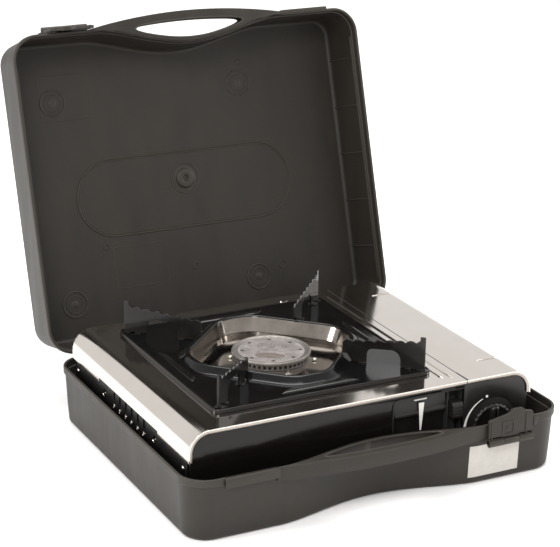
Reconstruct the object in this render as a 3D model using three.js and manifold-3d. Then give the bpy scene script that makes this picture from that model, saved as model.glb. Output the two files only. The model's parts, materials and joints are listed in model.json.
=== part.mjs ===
// A single-burner butane table stove sitting in the lower half of its carrying case, lid open.
// Millimetres, +X right, +Y back, +Z up. The origin is the middle of the case's underside.
import * as THREE from "three";
import { mergeVertices } from "three/addons/utils/BufferGeometryUtils.js";
import Module from "manifold-3d";

const wasm = await Module();
wasm.setup();

// ---------------------------------------------------------------- driving dimensions

const GAP = 0.3; // between pieces that rest on or beside each other

const CASE = {
  width: 379.4, // over the rim bands
  depth: 313.4,
  halfHeight: 59, // each half, floor to rim
  wall: 2.5,
  floor: 3,
  draft: 3, // how far a wall leans out from floor to rim
  corner: 22, // upright corner radius at the floor
  band: 1.2, // the rim band stands this proud
  bandHeight: 8,
  edge: 4, // rounding of the floor's edge
  dentDepth: 18, // the hand recess in the front wall
  dentHalf: 98,
};
const GRIP = {
  half: 107,
  bulge: 11, // in front of the rim band
  height: 13,
  bar: 8.5, // the bar's thickness, front to back
  holeHalf: 60,
  ledge: 2, // between the hole and the wall
};
const LID_OPEN_DEG = 107;

const CASE_HINGE = { station: 130, knuckle: 21.7, radius: 3.4, pin: 1.5, play: 0.25, drop: 4.2 };
const LATCH = {
  from: 104,
  to: 151,
  below: 21, // the flap reaches this far under the rim
  above: 12, // and this far over it
  thick: 3,
  standOff: 1.1, // between the rim band and the flap
  barrel: 3.2,
  pin: 1.6,
  play: 0.25,
  lug: 16, // width of the case's lug between the flap's cheeks
  hook: 3.4, // reach over the catch
};
const CATCH = { from: 105, to: 157, height: 9, proud: 2.6 };
const LABEL = { from: 94, to: 141, low: 9, high: 37, thick: 0.4 };

const STOVE = {
  width: 345,
  depth: 269,
  height: 91.5, // foot to steel top
  middleX: -7.5,
  frontY: -134,
  corner: 20, // of the steel shell's shoulders
  sheet: 1.2,
};
const FEET = { radius: 9, height: 4, inset: 26 };
const TRAY = { wall: 1.5, insetX: 1.6, insetY: 5, lip: 10 };
const BACK = { inset: 2, thick: 1.2, vents: 5, ventPitch: 22, ventLength: 14, ventHeight: 3.5, ventFrom: 60 };
const SHELL = { sideFrom: 67, scallop: 4, scallopHalf: 68, flange: 7 };
const VENTS = { count: 6, pitch: 13.8, width: 4, low: 60, high: 69, holeRadius: 2, holeZ: 54.5 };
const END_HOLE = { radius: 3.4, y: 58, z: 59 };
const RIVET = { radius: 2.2, head: 1.1, shank: 1.1, insetY: 13, z: 58 };

const SUPPORT = {
  middleX: -34,
  middleY: 1.5,
  half: 109,
  corner: 8,
  sheet: 1.2,
  rise: 1.9, // underside of the sheet above the steel top
  collarHalf: 78, // from the middle to the opening's flats that face along X and Y
  collarDiagonal: 66.5, // and to its diagonal flats
  collarRound: 12,
  collarTop: 9.2, // above the steel top
  collarBottom: -6,
  collarInDraft: 5,
  collarOutDraft: 6,
  wall: 1.4,
};
const FIN = {
  thick: 2,
  inner: 69, // from the middle of the support
  outer: 147,
  postHeight: 31,
  postWidth: 5,
  shoulder: 26.5, // height beside the post
  innerHeight: 20,
  teeth: 7,
  toothDepth: 2.2,
  archFrom: 92,
  archTo: 124,
  archHeight: 15,
};

const WELL = { clear: 3, depth: 15, draft: 4, hole: 20 };
const BURNER = {
  radius: 37,
  top: 4.2, // cap's top above the steel top
  capHeight: 3,
  ringHeight: 5.5,
  ringRadius: 35,
  ringWall: 5,
  bowlRadius: 33,
  bowlHeight: 10,
  neckRadius: 15,
  wall: 3,
  ports: 20,
  portWidth: 2.2,
  capHoles: 8,
  capHoleRing: 27,
};

const ELECTRODE = { body: 2.4, height: 9, tip: 0.9, tipHeight: 4, clear: 3.6, below: 10 };

const SPLIT_X = 96; // where the fixed steel top ends and the canister cover starts
const COVER = {
  hingeZ: 68,
  hingeInset: 6.4, // the hinge pin's distance in from the stove's right side
  pin: 1.5,
  play: 0.25,
  barrel: 3,
  knuckleLength: 16,
  knuckleInset: 39.5, // a knuckle's middle, in from the stove's front or back end
  sideFrom: 71.3,
};
const PARTITION = { x: 84, front: 56, back: 9, top: 3 }; // front and back: set in from the stove's ends
const CANISTER = { x: 126, z: 51, radius: 34 }; // the room left for a gas canister
const CRADLE = { clear: 2, thick: 1.5, halfAngle: 48, front: 74, back: 14 };

const PANEL = { inset: 2.5, thick: 2.5, side: 2.2, corner: 17.8 };
const BEZEL = { from: 20, right: 7, low: 19, top: 7, depth: 11, wall: 1.5, corner: 8 };
const LEVER = { x: 88, width: 11, low: 59, high: 74, slotLow: 30, proud: 1.5 };
const KNOB = { x: 126, z: 45, radius: 22, rear: 1, front: 3, bar: 8, barProud: 5, stem: 3 };
const REGULATOR = { radius: 17, from: 16.5, to: 38 }; // behind the panel's face
const NOZZLE = { radius: 5, length: 8 };
const PUSHER = { from: 54, thick: 3, hole: 13, wide: 44, tall: 46 };
const PIEZO = { x: 100, z: 26, radius: 5.5, from: 17, length: 28 };
const MIXER = { radius: 8.5, bore: 7, z: 68.5, to: 58 };
const JET = { radius: 4, length: 12 };

// ---------------------------------------------------------------- derived places

const rimZ = CASE.halfHeight;
const caseHalfX = CASE.width / 2 - CASE.band - CASE.draft; // at the floor
const caseHalfY = CASE.depth / 2 - CASE.band - CASE.draft;
const seamZ = rimZ + GAP / 2; // mid-plane between the two halves
const hingeY = CASE.depth / 2 + CASE_HINGE.radius + GAP;
const hingeZ = seamZ - CASE_HINGE.drop;

const footZ = CASE.floor + GAP;
const trayZ = footZ + FEET.height + GAP;
const topZ = footZ + STOVE.height; // the steel top
const stoveLeft = STOVE.middleX - STOVE.width / 2;
const stoveRight = STOVE.middleX + STOVE.width / 2;
const stoveBack = STOVE.frontY + STOVE.depth;
const underTop = topZ - STOVE.sheet;
const panelFace = STOVE.frontY + PANEL.inset;
const panelBack = panelFace + PANEL.thick;
const burnerTop = topZ + BURNER.top;
const floorTop = trayZ + TRAY.wall;
const trayLeft = stoveLeft + TRAY.insetX;
const trayRight = stoveRight - TRAY.insetX;
const trayFront = panelBack + GAP;
const trayBack = stoveBack - TRAY.insetY;
const coverKnuckleY = STOVE.depth / 2 - COVER.knuckleInset; // from the stove's middle
const trayLeftTop = topZ - STOVE.corner + 1.2;
const coverPinX = stoveRight - COVER.hingeInset;
const bezelRight = stoveRight - BEZEL.right;
const bezelTop = topZ - BEZEL.top;
const bezelBack = panelFace + BEZEL.depth + BEZEL.wall;
const STOVE_MIDDLE_Y = STOVE.frontY + STOVE.depth / 2;
const electrodeX = SUPPORT.middleX - 3;
const electrodeY = SUPPORT.middleY - BURNER.radius - ELECTRODE.clear;

// ---------------------------------------------------------------- small solids

function solid(geometry) {
  const bare = geometry.index ? geometry.toNonIndexed() : geometry.clone();
  for (const key of Object.keys(bare.attributes)) if (key !== "position") bare.deleteAttribute(key);
  const merged = mergeVertices(bare, 1e-4);
  return new wasm.Manifold(
    new wasm.Mesh({
      numProp: 3,
      vertProperties: merged.attributes.position.array,
      triVerts: new Uint32Array(merged.index.array),
    }),
  );
}

function geometryOf(manifold) {
  const mesh = manifold.getMesh();
  const points = new Float32Array(mesh.numVert * 3);
  for (let i = 0; i < mesh.numVert; i++)
    points.set(mesh.vertProperties.subarray(i * mesh.numProp, i * mesh.numProp + 3), i * 3);
  const geometry = new THREE.BufferGeometry();
  geometry.setAttribute("position", new THREE.BufferAttribute(points, 3));
  geometry.setIndex(new THREE.BufferAttribute(mesh.triVerts, 1));
  geometry.computeVertexNormals();
  return geometry;
}

const join = (...parts) => parts.reduce((a, b) => a.add(b));
const cut = (body, ...tools) => tools.reduce((a, b) => a.subtract(b), body);

function box(x0, x1, y0, y1, z0, z1) {
  const geometry = new THREE.BoxGeometry(x1 - x0, y1 - y0, z1 - z0);
  return solid(geometry.translate((x0 + x1) / 2, (y0 + y1) / 2, (z0 + z1) / 2));
}

const AXES = {
  // maps an outline's (u, v) and its depth to the row's axes
  x: new THREE.Matrix4().makeBasis(
    new THREE.Vector3(0, 1, 0), new THREE.Vector3(0, 0, 1), new THREE.Vector3(1, 0, 0)),
  y: new THREE.Matrix4().makeBasis(
    new THREE.Vector3(0, 0, 1), new THREE.Vector3(1, 0, 0), new THREE.Vector3(0, 1, 0)),
  z: new THREE.Matrix4(),
};

// A rod along an axis: (a, b) is its centre in the other two axes, in X, Y, Z order.
function rod(axis, radius, a, b, from, to, sides = 24) {
  const geometry = new THREE.CylinderGeometry(radius, radius, to - from, sides);
  geometry.rotateX(Math.PI / 2).translate(0, 0, (from + to) / 2).applyMatrix4(AXES[axis]);
  const centre = { x: [0, a, b], y: [a, 0, b], z: [a, b, 0] }[axis];
  return solid(geometry.translate(...centre));
}

function tube(axis, outer, inner, a, b, from, to, sides = 24) {
  return cut(rod(axis, outer, a, b, from, to, sides), rod(axis, inner, a, b, from - 1, to + 1, sides));
}

// An outline pushed along an axis. Its points are given in the other two axes, in X, Y, Z order.
function prism(axis, outline, from, to) {
  const points = outline.map(([a, b]) => new THREE.Vector2(...(axis === "y" ? [b, a] : [a, b])));
  const geometry = new THREE.ExtrudeGeometry(new THREE.Shape(points), {
    depth: to - from,
    bevelEnabled: false,
  });
  return solid(geometry.translate(0, 0, from).applyMatrix4(AXES[axis]));
}

// A solid through rings of equal point counts, each ring at its own height.
function loft(rings) {
  const count = rings[0].length;
  const points = rings.flat(2);
  const faces = [];
  rings.slice(1).forEach((_, level) => {
    for (let i = 0; i < count; i++) {
      const next = (i + 1) % count;
      const [a, b] = [level * count + i, level * count + next];
      faces.push(a, b, b + count, a, b + count, a + count);
    }
  });
  const flat = rings[0].map(([x, y]) => new THREE.Vector2(x, y));
  const last = (rings.length - 1) * count;
  for (const [a, b, c] of THREE.ShapeUtils.triangulateShape(flat, [])) {
    faces.push(c, b, a);
    faces.push(last + a, last + b, last + c);
  }
  const geometry = new THREE.BufferGeometry();
  geometry.setAttribute("position", new THREE.Float32BufferAttribute(points, 3));
  geometry.setIndex(faces);
  return solid(geometry);
}

function lathe(profile, x, y, sides = 40) {
  const points = profile.map(([r, z]) => new THREE.Vector2(r, z));
  return solid(new THREE.LatheGeometry(points, sides).rotateX(Math.PI / 2).translate(x, y, 0));
}

function arc(cx, cy, radius, fromDeg, toDeg, steps) {
  return Array.from({ length: steps + 1 }, (_, i) => {
    const angle = THREE.MathUtils.degToRad(fromDeg + ((toDeg - fromDeg) * i) / steps);
    return [cx + radius * Math.cos(angle), cy + radius * Math.sin(angle)];
  });
}

// An outline whose corners are rounded.
function rounded(corners, radius, steps = 3) {
  return corners.flatMap((point, i) => {
    const before = corners[(i + corners.length - 1) % corners.length];
    const after = corners[(i + 1) % corners.length];
    const here = new THREE.Vector2(...point);
    const back = new THREE.Vector2(...before).sub(here);
    const ahead = new THREE.Vector2(...after).sub(here);
    const reach = Math.min(radius, back.length() * 0.45, ahead.length() * 0.45);
    const [a, b] = [here.clone().add(back.setLength(reach)), here.clone().add(ahead.setLength(reach))];
    return Array.from({ length: steps + 1 }, (_, k) => {
      const t = k / steps;
      const p = a.clone().lerp(here, t).lerp(here.clone().lerp(b, t), t);
      return [p.x, p.y];
    });
  });
}

function along(route, radius, sides = 8) {
  const curve = new THREE.CatmullRomCurve3(route.map((p) => new THREE.Vector3(...p)));
  const section = new THREE.Shape(arc(0, 0, radius, 0, 360 - 360 / sides, sides - 1).map(
    ([x, y]) => new THREE.Vector2(x, y)));
  return solid(new THREE.ExtrudeGeometry(section, {
    steps: route.length * 3,
    extrudePath: curve,
    bevelEnabled: false,
  }));
}

// ---------------------------------------------------------------- materials

const finish = (color, roughness, metalness) =>
  new THREE.MeshStandardMaterial({ color, roughness, metalness });
const MATERIALS = {
  case_plastic: finish(0x3f3c36, 0.55, 0),
  steel: finish(0xcdc6c0, 0.15, 1),
  black_steel: finish(0x141312, 0.4, 0.2),
  panel_plastic: finish(0x15130f, 0.12, 0),
  black_plastic: finish(0x1c1b19, 0.5, 0),
  enamel: finish(0x1a1a19, 0.25, 0),
  burner_metal: finish(0xb5a8a4, 0.45, 0.8),
  aluminium: finish(0x8f8a85, 0.5, 0.9),
  brass: finish(0xb08d4a, 0.35, 1),
  rubber: finish(0x1a1a1a, 0.9, 0),
  paper: finish(0xe6e4e0, 0.9, 0),
  white_mark: finish(0xe8e6e2, 0.6, 0),
  ceramic: finish(0xece8df, 0.4, 0),
  wire: finish(0xb03a2e, 0.6, 0),
};

const stove = new THREE.Group();

function place(name, manifold, material, parent = stove) {
  const mesh = new THREE.Mesh(geometryOf(manifold), MATERIALS[material]);
  mesh.name = name;
  parent.add(mesh);
  return mesh;
}

// ---------------------------------------------------------------- the case

// How far the hand recess pushes the front wall back at x.
const dentAt = (x) =>
  Math.abs(x) < CASE.dentHalf
    ? CASE.dentDepth * (0.5 + 0.5 * Math.cos((Math.PI * x) / CASE.dentHalf)) ** 0.75
    : 0;

// How far the grip bulges in front of the rim band at x.
const bulgeAt = (x) => GRIP.bulge * Math.max(0, Math.cos((Math.PI * x) / (2 * GRIP.half))) ** 0.8;

// A case half's outline, grown outwards from the outline at the floor's corner.
function caseOutline(grow, z) {
  const [hx, hy] = [caseHalfX + grow, caseHalfY + grow];
  const r = CASE.corner + grow;
  const samples = 20;
  const front = Array.from({ length: samples + 1 }, (_, i) => {
    const x = CASE.dentHalf * ((2 * i) / samples - 1);
    return [x, -hy + dentAt(x)];
  });
  const corners = [
    arc(hx - r, -hy + r, r, -90, 0, 6),
    arc(hx - r, hy - r, r, 0, 90, 6),
    arc(-hx + r, hy - r, r, 90, 180, 6),
    arc(-hx + r, -hy + r, r, 180, 270, 6),
  ];
  return [...front, ...corners.flat()].map(([x, y]) => [x, y, z]);
}

function caseShell() {
  const lean = (z) => (CASE.draft * z) / rimZ;
  const bandZ = rimZ - CASE.bandHeight;
  const outer = loft([
    caseOutline(-CASE.edge, 0),
    caseOutline(-CASE.edge * 0.45, CASE.edge * 0.2),
    caseOutline(lean(CASE.edge), CASE.edge),
    caseOutline(lean(bandZ), bandZ),
    caseOutline(lean(rimZ) + CASE.band, bandZ + CASE.band),
    caseOutline(lean(rimZ) + CASE.band, rimZ),
  ]);
  const inner = loft([
    caseOutline(-CASE.wall - CASE.edge * 0.5, CASE.floor),
    caseOutline(lean(CASE.floor + 3) - CASE.wall, CASE.floor + 3),
    caseOutline(lean(rimZ + 1) - CASE.wall, rimZ + 1),
  ]);
  return cut(outer, inner);
}

// The grip: a bar bulging in front of the recess, tied to the wall at both ends.
function caseGrip() {
  const band = -CASE.depth / 2;
  const spread = (half, steps) => Array.from({ length: steps + 1 }, (_, i) => half * ((2 * i) / steps - 1));
  const across = spread(GRIP.half, 20);
  const front = across.map((x) => [x, band - bulgeAt(x)]);
  const back = across.map((x) => [x, band + dentAt(x) + CASE.band + CASE.wall / 2]).reverse();
  const bar = prism("z", [...front, ...back], rimZ - GRIP.height, rimZ);
  const inside = spread(GRIP.holeHalf, 12);
  const near = inside.map((x) => [x, band - bulgeAt(x) + GRIP.bar]);
  const far = inside.map((x) => [x, band + dentAt(x) - GRIP.ledge]).reverse();
  const hole = prism("z", rounded([...near, ...far], 2, 1), rimZ - GRIP.height - 1, rimZ + 1);
  return { bar, hole };
}

// A hinge knuckle at the back of a half, from x0 to x1, with its web to the wall.
function knuckle(x0, x1, z) {
  const root = CASE.depth / 2 - CASE.band - 1;
  const [near, far] = [hingeY - CASE_HINGE.radius + 0.1, hingeY + CASE_HINGE.radius - 0.4];
  const top = Math.min(z, rimZ);
  const web = prism("x", [
    [root, top - CASE_HINGE.radius - 7],
    [far, z - 1],
    [far, z],
    [near, z],
    [near, top],
    [root, top],
  ], x0, x1);
  const barrel = rod("x", CASE_HINGE.radius, hingeY, z, x0, x1);
  const bore = rod("x", CASE_HINGE.pin + CASE_HINGE.play, hingeY, z, x0 - 1, x1 + 1);
  return { web: join(web, barrel), bore };
}

const latchPinY = -CASE.depth / 2 - LATCH.standOff - LATCH.barrel;
const latchPinZ = rimZ - LATCH.below + LATCH.barrel;

// The catch block that the other half's latch hooks on, and the lug that holds this half's latch.
function caseFittings() {
  const face = -CASE.depth / 2;
  const root = face + CASE.band + 1;
  const block = box(-CATCH.to, -CATCH.from, face - CATCH.proud, root, rimZ - CATCH.height, rimZ);
  const middle = (LATCH.from + LATCH.to) / 2;
  const half = LATCH.lug / 2;
  const lug = join(
    rod("x", LATCH.barrel, latchPinY, latchPinZ, middle - half, middle + half),
    box(middle - half, middle + half, latchPinY, root + 1.5, latchPinZ - 2.5, latchPinZ + 2.5),
  );
  const bore = rod("x", LATCH.pin + GAP, latchPinY, latchPinZ, middle - half - 1, middle + half + 1);
  return { block, lug: cut(lug, bore) };
}

// One case half in the lower half's place, with its hinge at a height. The lid is the same
// moulding turned over, and its knuckles reach down past the seam.
function caseHalf(knuckleZ) {
  const { bar, hole } = caseGrip();
  const { block, lug } = caseFittings();
  const { station, knuckle: length } = CASE_HINGE;
  const right = knuckle(station - GAP / 2 - length, station - GAP / 2, knuckleZ);
  const left = knuckle(-station - GAP / 2 - length, -station - GAP / 2, knuckleZ);
  return cut(join(caseShell(), bar, block, lug, right.web, left.web), hole, right.bore, left.bore);
}

// A latch flap, upright, with its barrels on either side of the case's lug and a hook at its top.
function latchFlap() {
  const inner = -CASE.depth / 2 - LATCH.standOff;
  const outer = inner - LATCH.thick;
  const top = rimZ + LATCH.above;
  const hookZ = rimZ + GAP + CATCH.height + GAP;
  const side = [
    [outer, latchPinZ],
    [inner, latchPinZ],
    [inner, hookZ],
    [inner + LATCH.hook - CATCH.proud, hookZ],
    [inner + LATCH.hook - CATCH.proud, top - 0.8],
    [inner - 0.6, top],
    [outer + 0.8, top],
    [outer, top - 2],
  ];
  const middle = (LATCH.from + LATCH.to) / 2;
  const half = LATCH.lug / 2 + GAP;
  const low = latchPinZ - LATCH.barrel - 1;
  return cut(
    join(
      prism("x", side, LATCH.from, LATCH.to),
      rod("x", LATCH.barrel, latchPinY, latchPinZ, LATCH.from, LATCH.to),
    ),
    box(middle - half, middle + half, outer - 5, inner + 5, low, latchPinZ + LATCH.barrel + 1),
    rod("x", LATCH.pin + LATCH.play, latchPinY, latchPinZ, LATCH.from - 1, LATCH.to + 1),
  );
}

const latchPin = () => rod("x", LATCH.pin, latchPinY, latchPinZ, LATCH.from + 1, LATCH.to - 1, 16);

function addCase() {
  place("case_bottom", caseHalf(hingeZ), "case_plastic");
  place("bottom_latch", latchFlap(), "case_plastic");
  place("bottom_latch_pin", latchPin(), "steel");
  const { station, knuckle: length, pin } = CASE_HINGE;
  for (const [name, x] of [["left", -station], ["right", station]])
    place(`case_hinge_pin_${name}`, rod("x", pin, hingeY, hingeZ, x - length, x + length, 16), "steel");
  const wallAt = (z) => -caseHalfY - (CASE.draft * z) / rimZ;
  const sheet = [[LABEL.low, 0], [LABEL.high, 0], [LABEL.high, 1], [LABEL.low, 1]].map(([z, out]) => [
    wallAt(z) - GAP - out * LABEL.thick,
    z,
  ]);
  place("paper_label", prism("x", sheet, LABEL.from, LABEL.to), "paper");
}

// The lid turns about the case hinge. Inside it, the half is turned over onto the lower one.
function addLid() {
  const hinge = new THREE.Group();
  hinge.position.set(0, hingeY, hingeZ);
  hinge.rotation.x = -THREE.MathUtils.degToRad(LID_OPEN_DEG);
  const turnedOver = new THREE.Group();
  turnedOver.rotation.y = Math.PI;
  turnedOver.position.set(0, -hingeY, 2 * seamZ - hingeZ);
  hinge.add(turnedOver);
  stove.add(hinge);
  place("case_lid", caseHalf(2 * seamZ - hingeZ), "case_plastic", turnedOver);
  place("lid_latch", latchFlap(), "case_plastic", turnedOver);
  place("lid_latch_pin", latchPin(), "steel", turnedOver);
}

// ---------------------------------------------------------------- body of the stove

// The support's eight-sided opening, grown outwards, at a height.
function opening(grow, z) {
  const half = SUPPORT.collarHalf + grow;
  const side = (SUPPORT.collarDiagonal + grow) * Math.SQRT2 - half;
  const corners = [[half, -side], [half, side], [side, half], [-side, half],
    [-half, side], [-half, -side], [-side, -half], [side, -half]];
  return rounded(corners, SUPPORT.collarRound).map(([x, y]) => [
    x + SUPPORT.middleX,
    y + SUPPORT.middleY,
    z,
  ]);
}

// Room at both ends of a flange at x for the front and back panels.
function flangeRelief(x) {
  const [low, high] = [topZ - SHELL.flange - 1, underTop];
  return [
    box(x - 3, x + 3, STOVE.frontY - 1, panelBack + GAP, low, high),
    box(x - 3, x + 3, stoveBack - BACK.inset - BACK.thick - GAP, stoveBack + 1, low, high),
  ];
}

function steelShell() {
  const { corner, sheet } = STOVE;
  const end = SPLIT_X - GAP / 2;
  const arcOuter = arc(stoveLeft + corner, topZ - corner, corner, 180, 90, 8);
  const arcInner = arc(stoveLeft + corner, topZ - corner, corner - sheet, 90, 180, 8);
  const profile = [
    [stoveLeft, SHELL.sideFrom],
    ...arcOuter,
    [end, topZ],
    [end, topZ - SHELL.flange],
    [end - sheet, topZ - SHELL.flange],
    [end - sheet, underTop],
    ...arcInner,
    [stoveLeft + sheet, SHELL.sideFrom],
  ];
  const skin = prism("y", profile.reverse(), STOVE.frontY, stoveBack);
  const scallop = box(stoveLeft - 1, stoveLeft + 5, -SHELL.scallopHalf, SHELL.scallopHalf,
    SHELL.sideFrom - 1, SHELL.sideFrom + SHELL.scallop);
  const wellZ = topZ - WELL.depth;
  const wall = loft([
    opening(WELL.clear - WELL.draft + sheet, wellZ - sheet),
    opening(WELL.clear + sheet, topZ - sheet / 2),
  ]);
  const room = loft([
    opening(WELL.clear - WELL.draft, wellZ),
    opening(WELL.clear, topZ + 1),
  ]);
  const hole = rod("z", WELL.hole, SUPPORT.middleX, SUPPORT.middleY, wellZ - 5, wellZ + 5, 32);
  const insulatorHole = rod("z", ELECTRODE.body + 0.5, electrodeX, electrodeY, wellZ - 5, wellZ + 5, 16);
  const relief = flangeRelief(end);
  return cut(join(cut(skin, scallop), wall), room, hole, insulatorHole, ...relief);
}

function canisterCover() {
  const { corner, sheet } = STOVE;
  const start = SPLIT_X + GAP / 2;
  const profile = [
    [start, topZ - SHELL.flange],
    [start, topZ],
    ...arc(stoveRight - corner, topZ - corner, corner, 90, 0, 8),
    [stoveRight, COVER.sideFrom],
    [stoveRight - sheet, COVER.sideFrom],
    ...arc(stoveRight - corner, topZ - corner, corner - sheet, 0, 90, 8),
    [start + sheet, underTop],
    [start + sheet, topZ - SHELL.flange],
  ];
  const skin = prism("y", profile.reverse(), STOVE.frontY, stoveBack);
  const knuckles = [-1, 1].map((side) => {
    const y0 = STOVE_MIDDLE_Y + side * coverKnuckleY - COVER.knuckleLength / 2;
    const y1 = y0 + COVER.knuckleLength;
    const arm = [
      [coverPinX - 2, COVER.hingeZ + 1],
      [coverPinX + 1, COVER.hingeZ - 1.5],
      [stoveRight - sheet / 2, COVER.sideFrom + 0.4],
      [stoveRight - sheet / 2, COVER.sideFrom + 3],
    ];
    return join(
      prism("y", arm.reverse(), y0, y1),
      rod("y", COVER.barrel, coverPinX, COVER.hingeZ, y0, y1, 16),
    );
  });
  const bore = rod("y", COVER.pin + COVER.play, coverPinX, COVER.hingeZ, STOVE.frontY, stoveBack, 16);
  return cut(join(skin, ...knuckles), bore, ...flangeRelief(start));
}

function baseTray() {
  const { wall } = TRAY;
  const wallTop = COVER.sideFrom - GAP - 0.1;
  const outside = box(trayLeft, trayRight, trayFront, trayBack, trayZ, trayLeftTop);
  const inside = box(trayLeft + wall, trayRight - wall, trayFront + wall, trayBack - wall,
    floorTop, trayLeftTop + 1);
  const aboveRight = box(PARTITION.x, trayRight + 1, trayFront - 1, trayBack + 1, wallTop, trayLeftTop + 1);
  const aboveEnds = [[trayFront - 1, trayFront + wall + 0.5], [trayBack - wall - 0.5, trayBack + 1]].map(
    ([y0, y1]) => box(trayLeft - 1, trayRight + 1, y0, y1, trayZ + TRAY.lip, trayLeftTop + 1));
  const lugs = [-1, 1].map((side) => {
    const y = STOVE_MIDDLE_Y + side * (coverKnuckleY + COVER.knuckleLength / 2 + 2.5);
    const x0 = coverPinX - COVER.barrel - 0.5;
    return box(x0, trayRight - wall / 2, y - 1.5, y + 1.5, COVER.hingeZ - 6, wallTop);
  });
  const notches = [-1, 1].map((side) => {
    const y = STOVE_MIDDLE_Y + side * coverKnuckleY;
    const half = COVER.knuckleLength / 2 + 0.8;
    return box(trayRight - wall - 1, trayRight + 1, y - half, y + half, COVER.hingeZ - 9, wallTop + 1);
  });
  const bore = rod("y", COVER.pin + GAP, coverPinX, COVER.hingeZ, STOVE.frontY, stoveBack, 16);
  const vents = Array.from({ length: VENTS.count }, (_, i) => {
    const y = (i - (VENTS.count - 1) / 2) * VENTS.pitch;
    const half = VENTS.width / 2;
    return join(
      box(trayLeft - 1, trayLeft + 3, y - half, y + half, VENTS.low, VENTS.high),
      rod("x", VENTS.holeRadius, y, VENTS.holeZ, trayLeft - 1, trayLeft + 3, 10),
    );
  });
  const endHoles = [-1, 1].map((side) =>
    rod("x", END_HOLE.radius, side * END_HOLE.y, END_HOLE.z, trayLeft - 1, trayLeft + 3, 14));
  const rivetHoles = rivetPlaces().map(([, y]) =>
    rod("x", RIVET.shank + GAP, y, RIVET.z, trayLeft - 1, trayLeft + 3, 10));
  const walls = cut(outside, inside, aboveRight, ...aboveEnds);
  return cut(join(walls, ...lugs), bore, ...notches, ...vents, ...endHoles, ...rivetHoles);
}

function rivetPlaces() {
  return [["front", STOVE.frontY + RIVET.insetY], ["back", stoveBack - RIVET.insetY]];
}

function addBody() {
  place("steel_shell", steelShell(), "steel");
  place("canister_cover", canisterCover(), "steel");
  place("base_tray", baseTray(), "black_steel");
  const pinHalf = coverKnuckleY + COVER.knuckleLength / 2 + 5;
  place(
    "cover_hinge_pin",
    rod("y", COVER.pin, coverPinX, COVER.hingeZ, STOVE_MIDDLE_Y - pinHalf, STOVE_MIDDLE_Y + pinHalf, 16),
    "steel",
  );
  for (const [end, y] of rivetPlaces()) {
    const head = rod("x", RIVET.radius, y, RIVET.z, trayLeft - GAP - RIVET.head, trayLeft - GAP, 16);
    const shank = rod("x", RIVET.shank, y, RIVET.z, trayLeft - GAP - RIVET.head / 2, trayLeft + 3, 12);
    place(`side_rivet_${end}`, join(head, shank), "steel");
  }
  for (const [side, x] of [["left", trayLeft + FEET.inset], ["right", trayRight - FEET.inset]])
    for (const [end, y] of [["front", trayFront + FEET.inset], ["back", trayBack - FEET.inset]]) {
      const profile = [[0, footZ], [FEET.radius - 1.5, footZ], [FEET.radius, footZ + FEET.height]];
      place(`foot_${end}_${side}`, lathe([...profile, [0, footZ + FEET.height]], x, y, 24), "rubber");
    }
  const partition = box(PARTITION.x, PARTITION.x + STOVE.sheet, STOVE.frontY + PARTITION.front,
    stoveBack - PARTITION.back, floorTop + GAP, underTop - PARTITION.top);
  place("bay_partition", partition, "black_steel");
  place("canister_cradle", cradle(), "black_steel");
}

function cradle() {
  const inner = CANISTER.radius + CRADLE.clear;
  const [a, b] = [-90 - CRADLE.halfAngle, -90 + CRADLE.halfAngle];
  const profile = [
    ...arc(CANISTER.x, CANISTER.z, inner + CRADLE.thick, a, b, 12),
    ...arc(CANISTER.x, CANISTER.z, inner, b, a, 12),
  ];
  return prism("y", profile.reverse(), STOVE.frontY + CRADLE.front, stoveBack - CRADLE.back);
}

// ---------------------------------------------------------------- front panel and controls

function roundedFront(x0, x1, z0, z1, bottomRadius, topRadius) {
  return [
    ...arc(x0 + bottomRadius, z0 + bottomRadius, bottomRadius, 180, 270, 4),
    ...arc(x1 - bottomRadius, z0 + bottomRadius, bottomRadius, 270, 360, 4),
    ...arc(x1 - topRadius, z1 - topRadius, topRadius, 0, 90, 6),
    ...arc(x0 + topRadius, z1 - topRadius, topRadius, 90, 180, 6),
  ];
}

function frontPanel() {
  const [x0, x1] = [stoveLeft + PANEL.side, stoveRight - PANEL.side];
  const plate = prism("y", roundedFront(x0, x1, trayZ, topZ - PANEL.side, 2, PANEL.corner).reverse(),
    panelFace, panelBack);
  const window = prism("y",
    roundedFront(BEZEL.from, bezelRight, BEZEL.low, bezelTop, BEZEL.corner, BEZEL.corner).reverse(),
    panelFace - 1, panelBack + 1);
  return cut(plate, window);
}

function backPanel() {
  const [x0, x1] = [stoveLeft + PANEL.side, stoveRight - PANEL.side];
  const y1 = stoveBack - BACK.inset;
  const y0 = y1 - BACK.thick;
  const plate = prism("y", roundedFront(x0, x1, trayZ, topZ - PANEL.side, 2, PANEL.corner).reverse(), y0, y1);
  const vents = Array.from({ length: BACK.vents }, (_, i) => {
    const x = stoveLeft + BACK.ventFrom + i * BACK.ventPitch;
    return box(x, x + BACK.ventLength, y0 - 1, y1 + 1, VENTS.holeZ, VENTS.holeZ + BACK.ventHeight);
  });
  return cut(plate, ...vents);
}

function controlBezel() {
  const shape = (inset) => roundedFront(BEZEL.from + GAP + inset, bezelRight - GAP - inset,
    BEZEL.low + GAP + inset, bezelTop - GAP - inset, BEZEL.corner - inset, BEZEL.corner - inset).reverse();
  const dish = cut(
    prism("y", shape(0), panelFace, bezelBack),
    prism("y", shape(BEZEL.wall), panelFace - 1, panelFace + BEZEL.depth),
  );
  const slot = box(LEVER.x - 3.4, LEVER.x + 3.4, bezelBack - 4, bezelBack + 1, LEVER.slotLow, LEVER.high + 1);
  const stemHole = rod("y", KNOB.stem + GAP, KNOB.x, KNOB.z, bezelBack - 4, bezelBack + 1, 20);
  return cut(dish, slot, stemHole);
}

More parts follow.
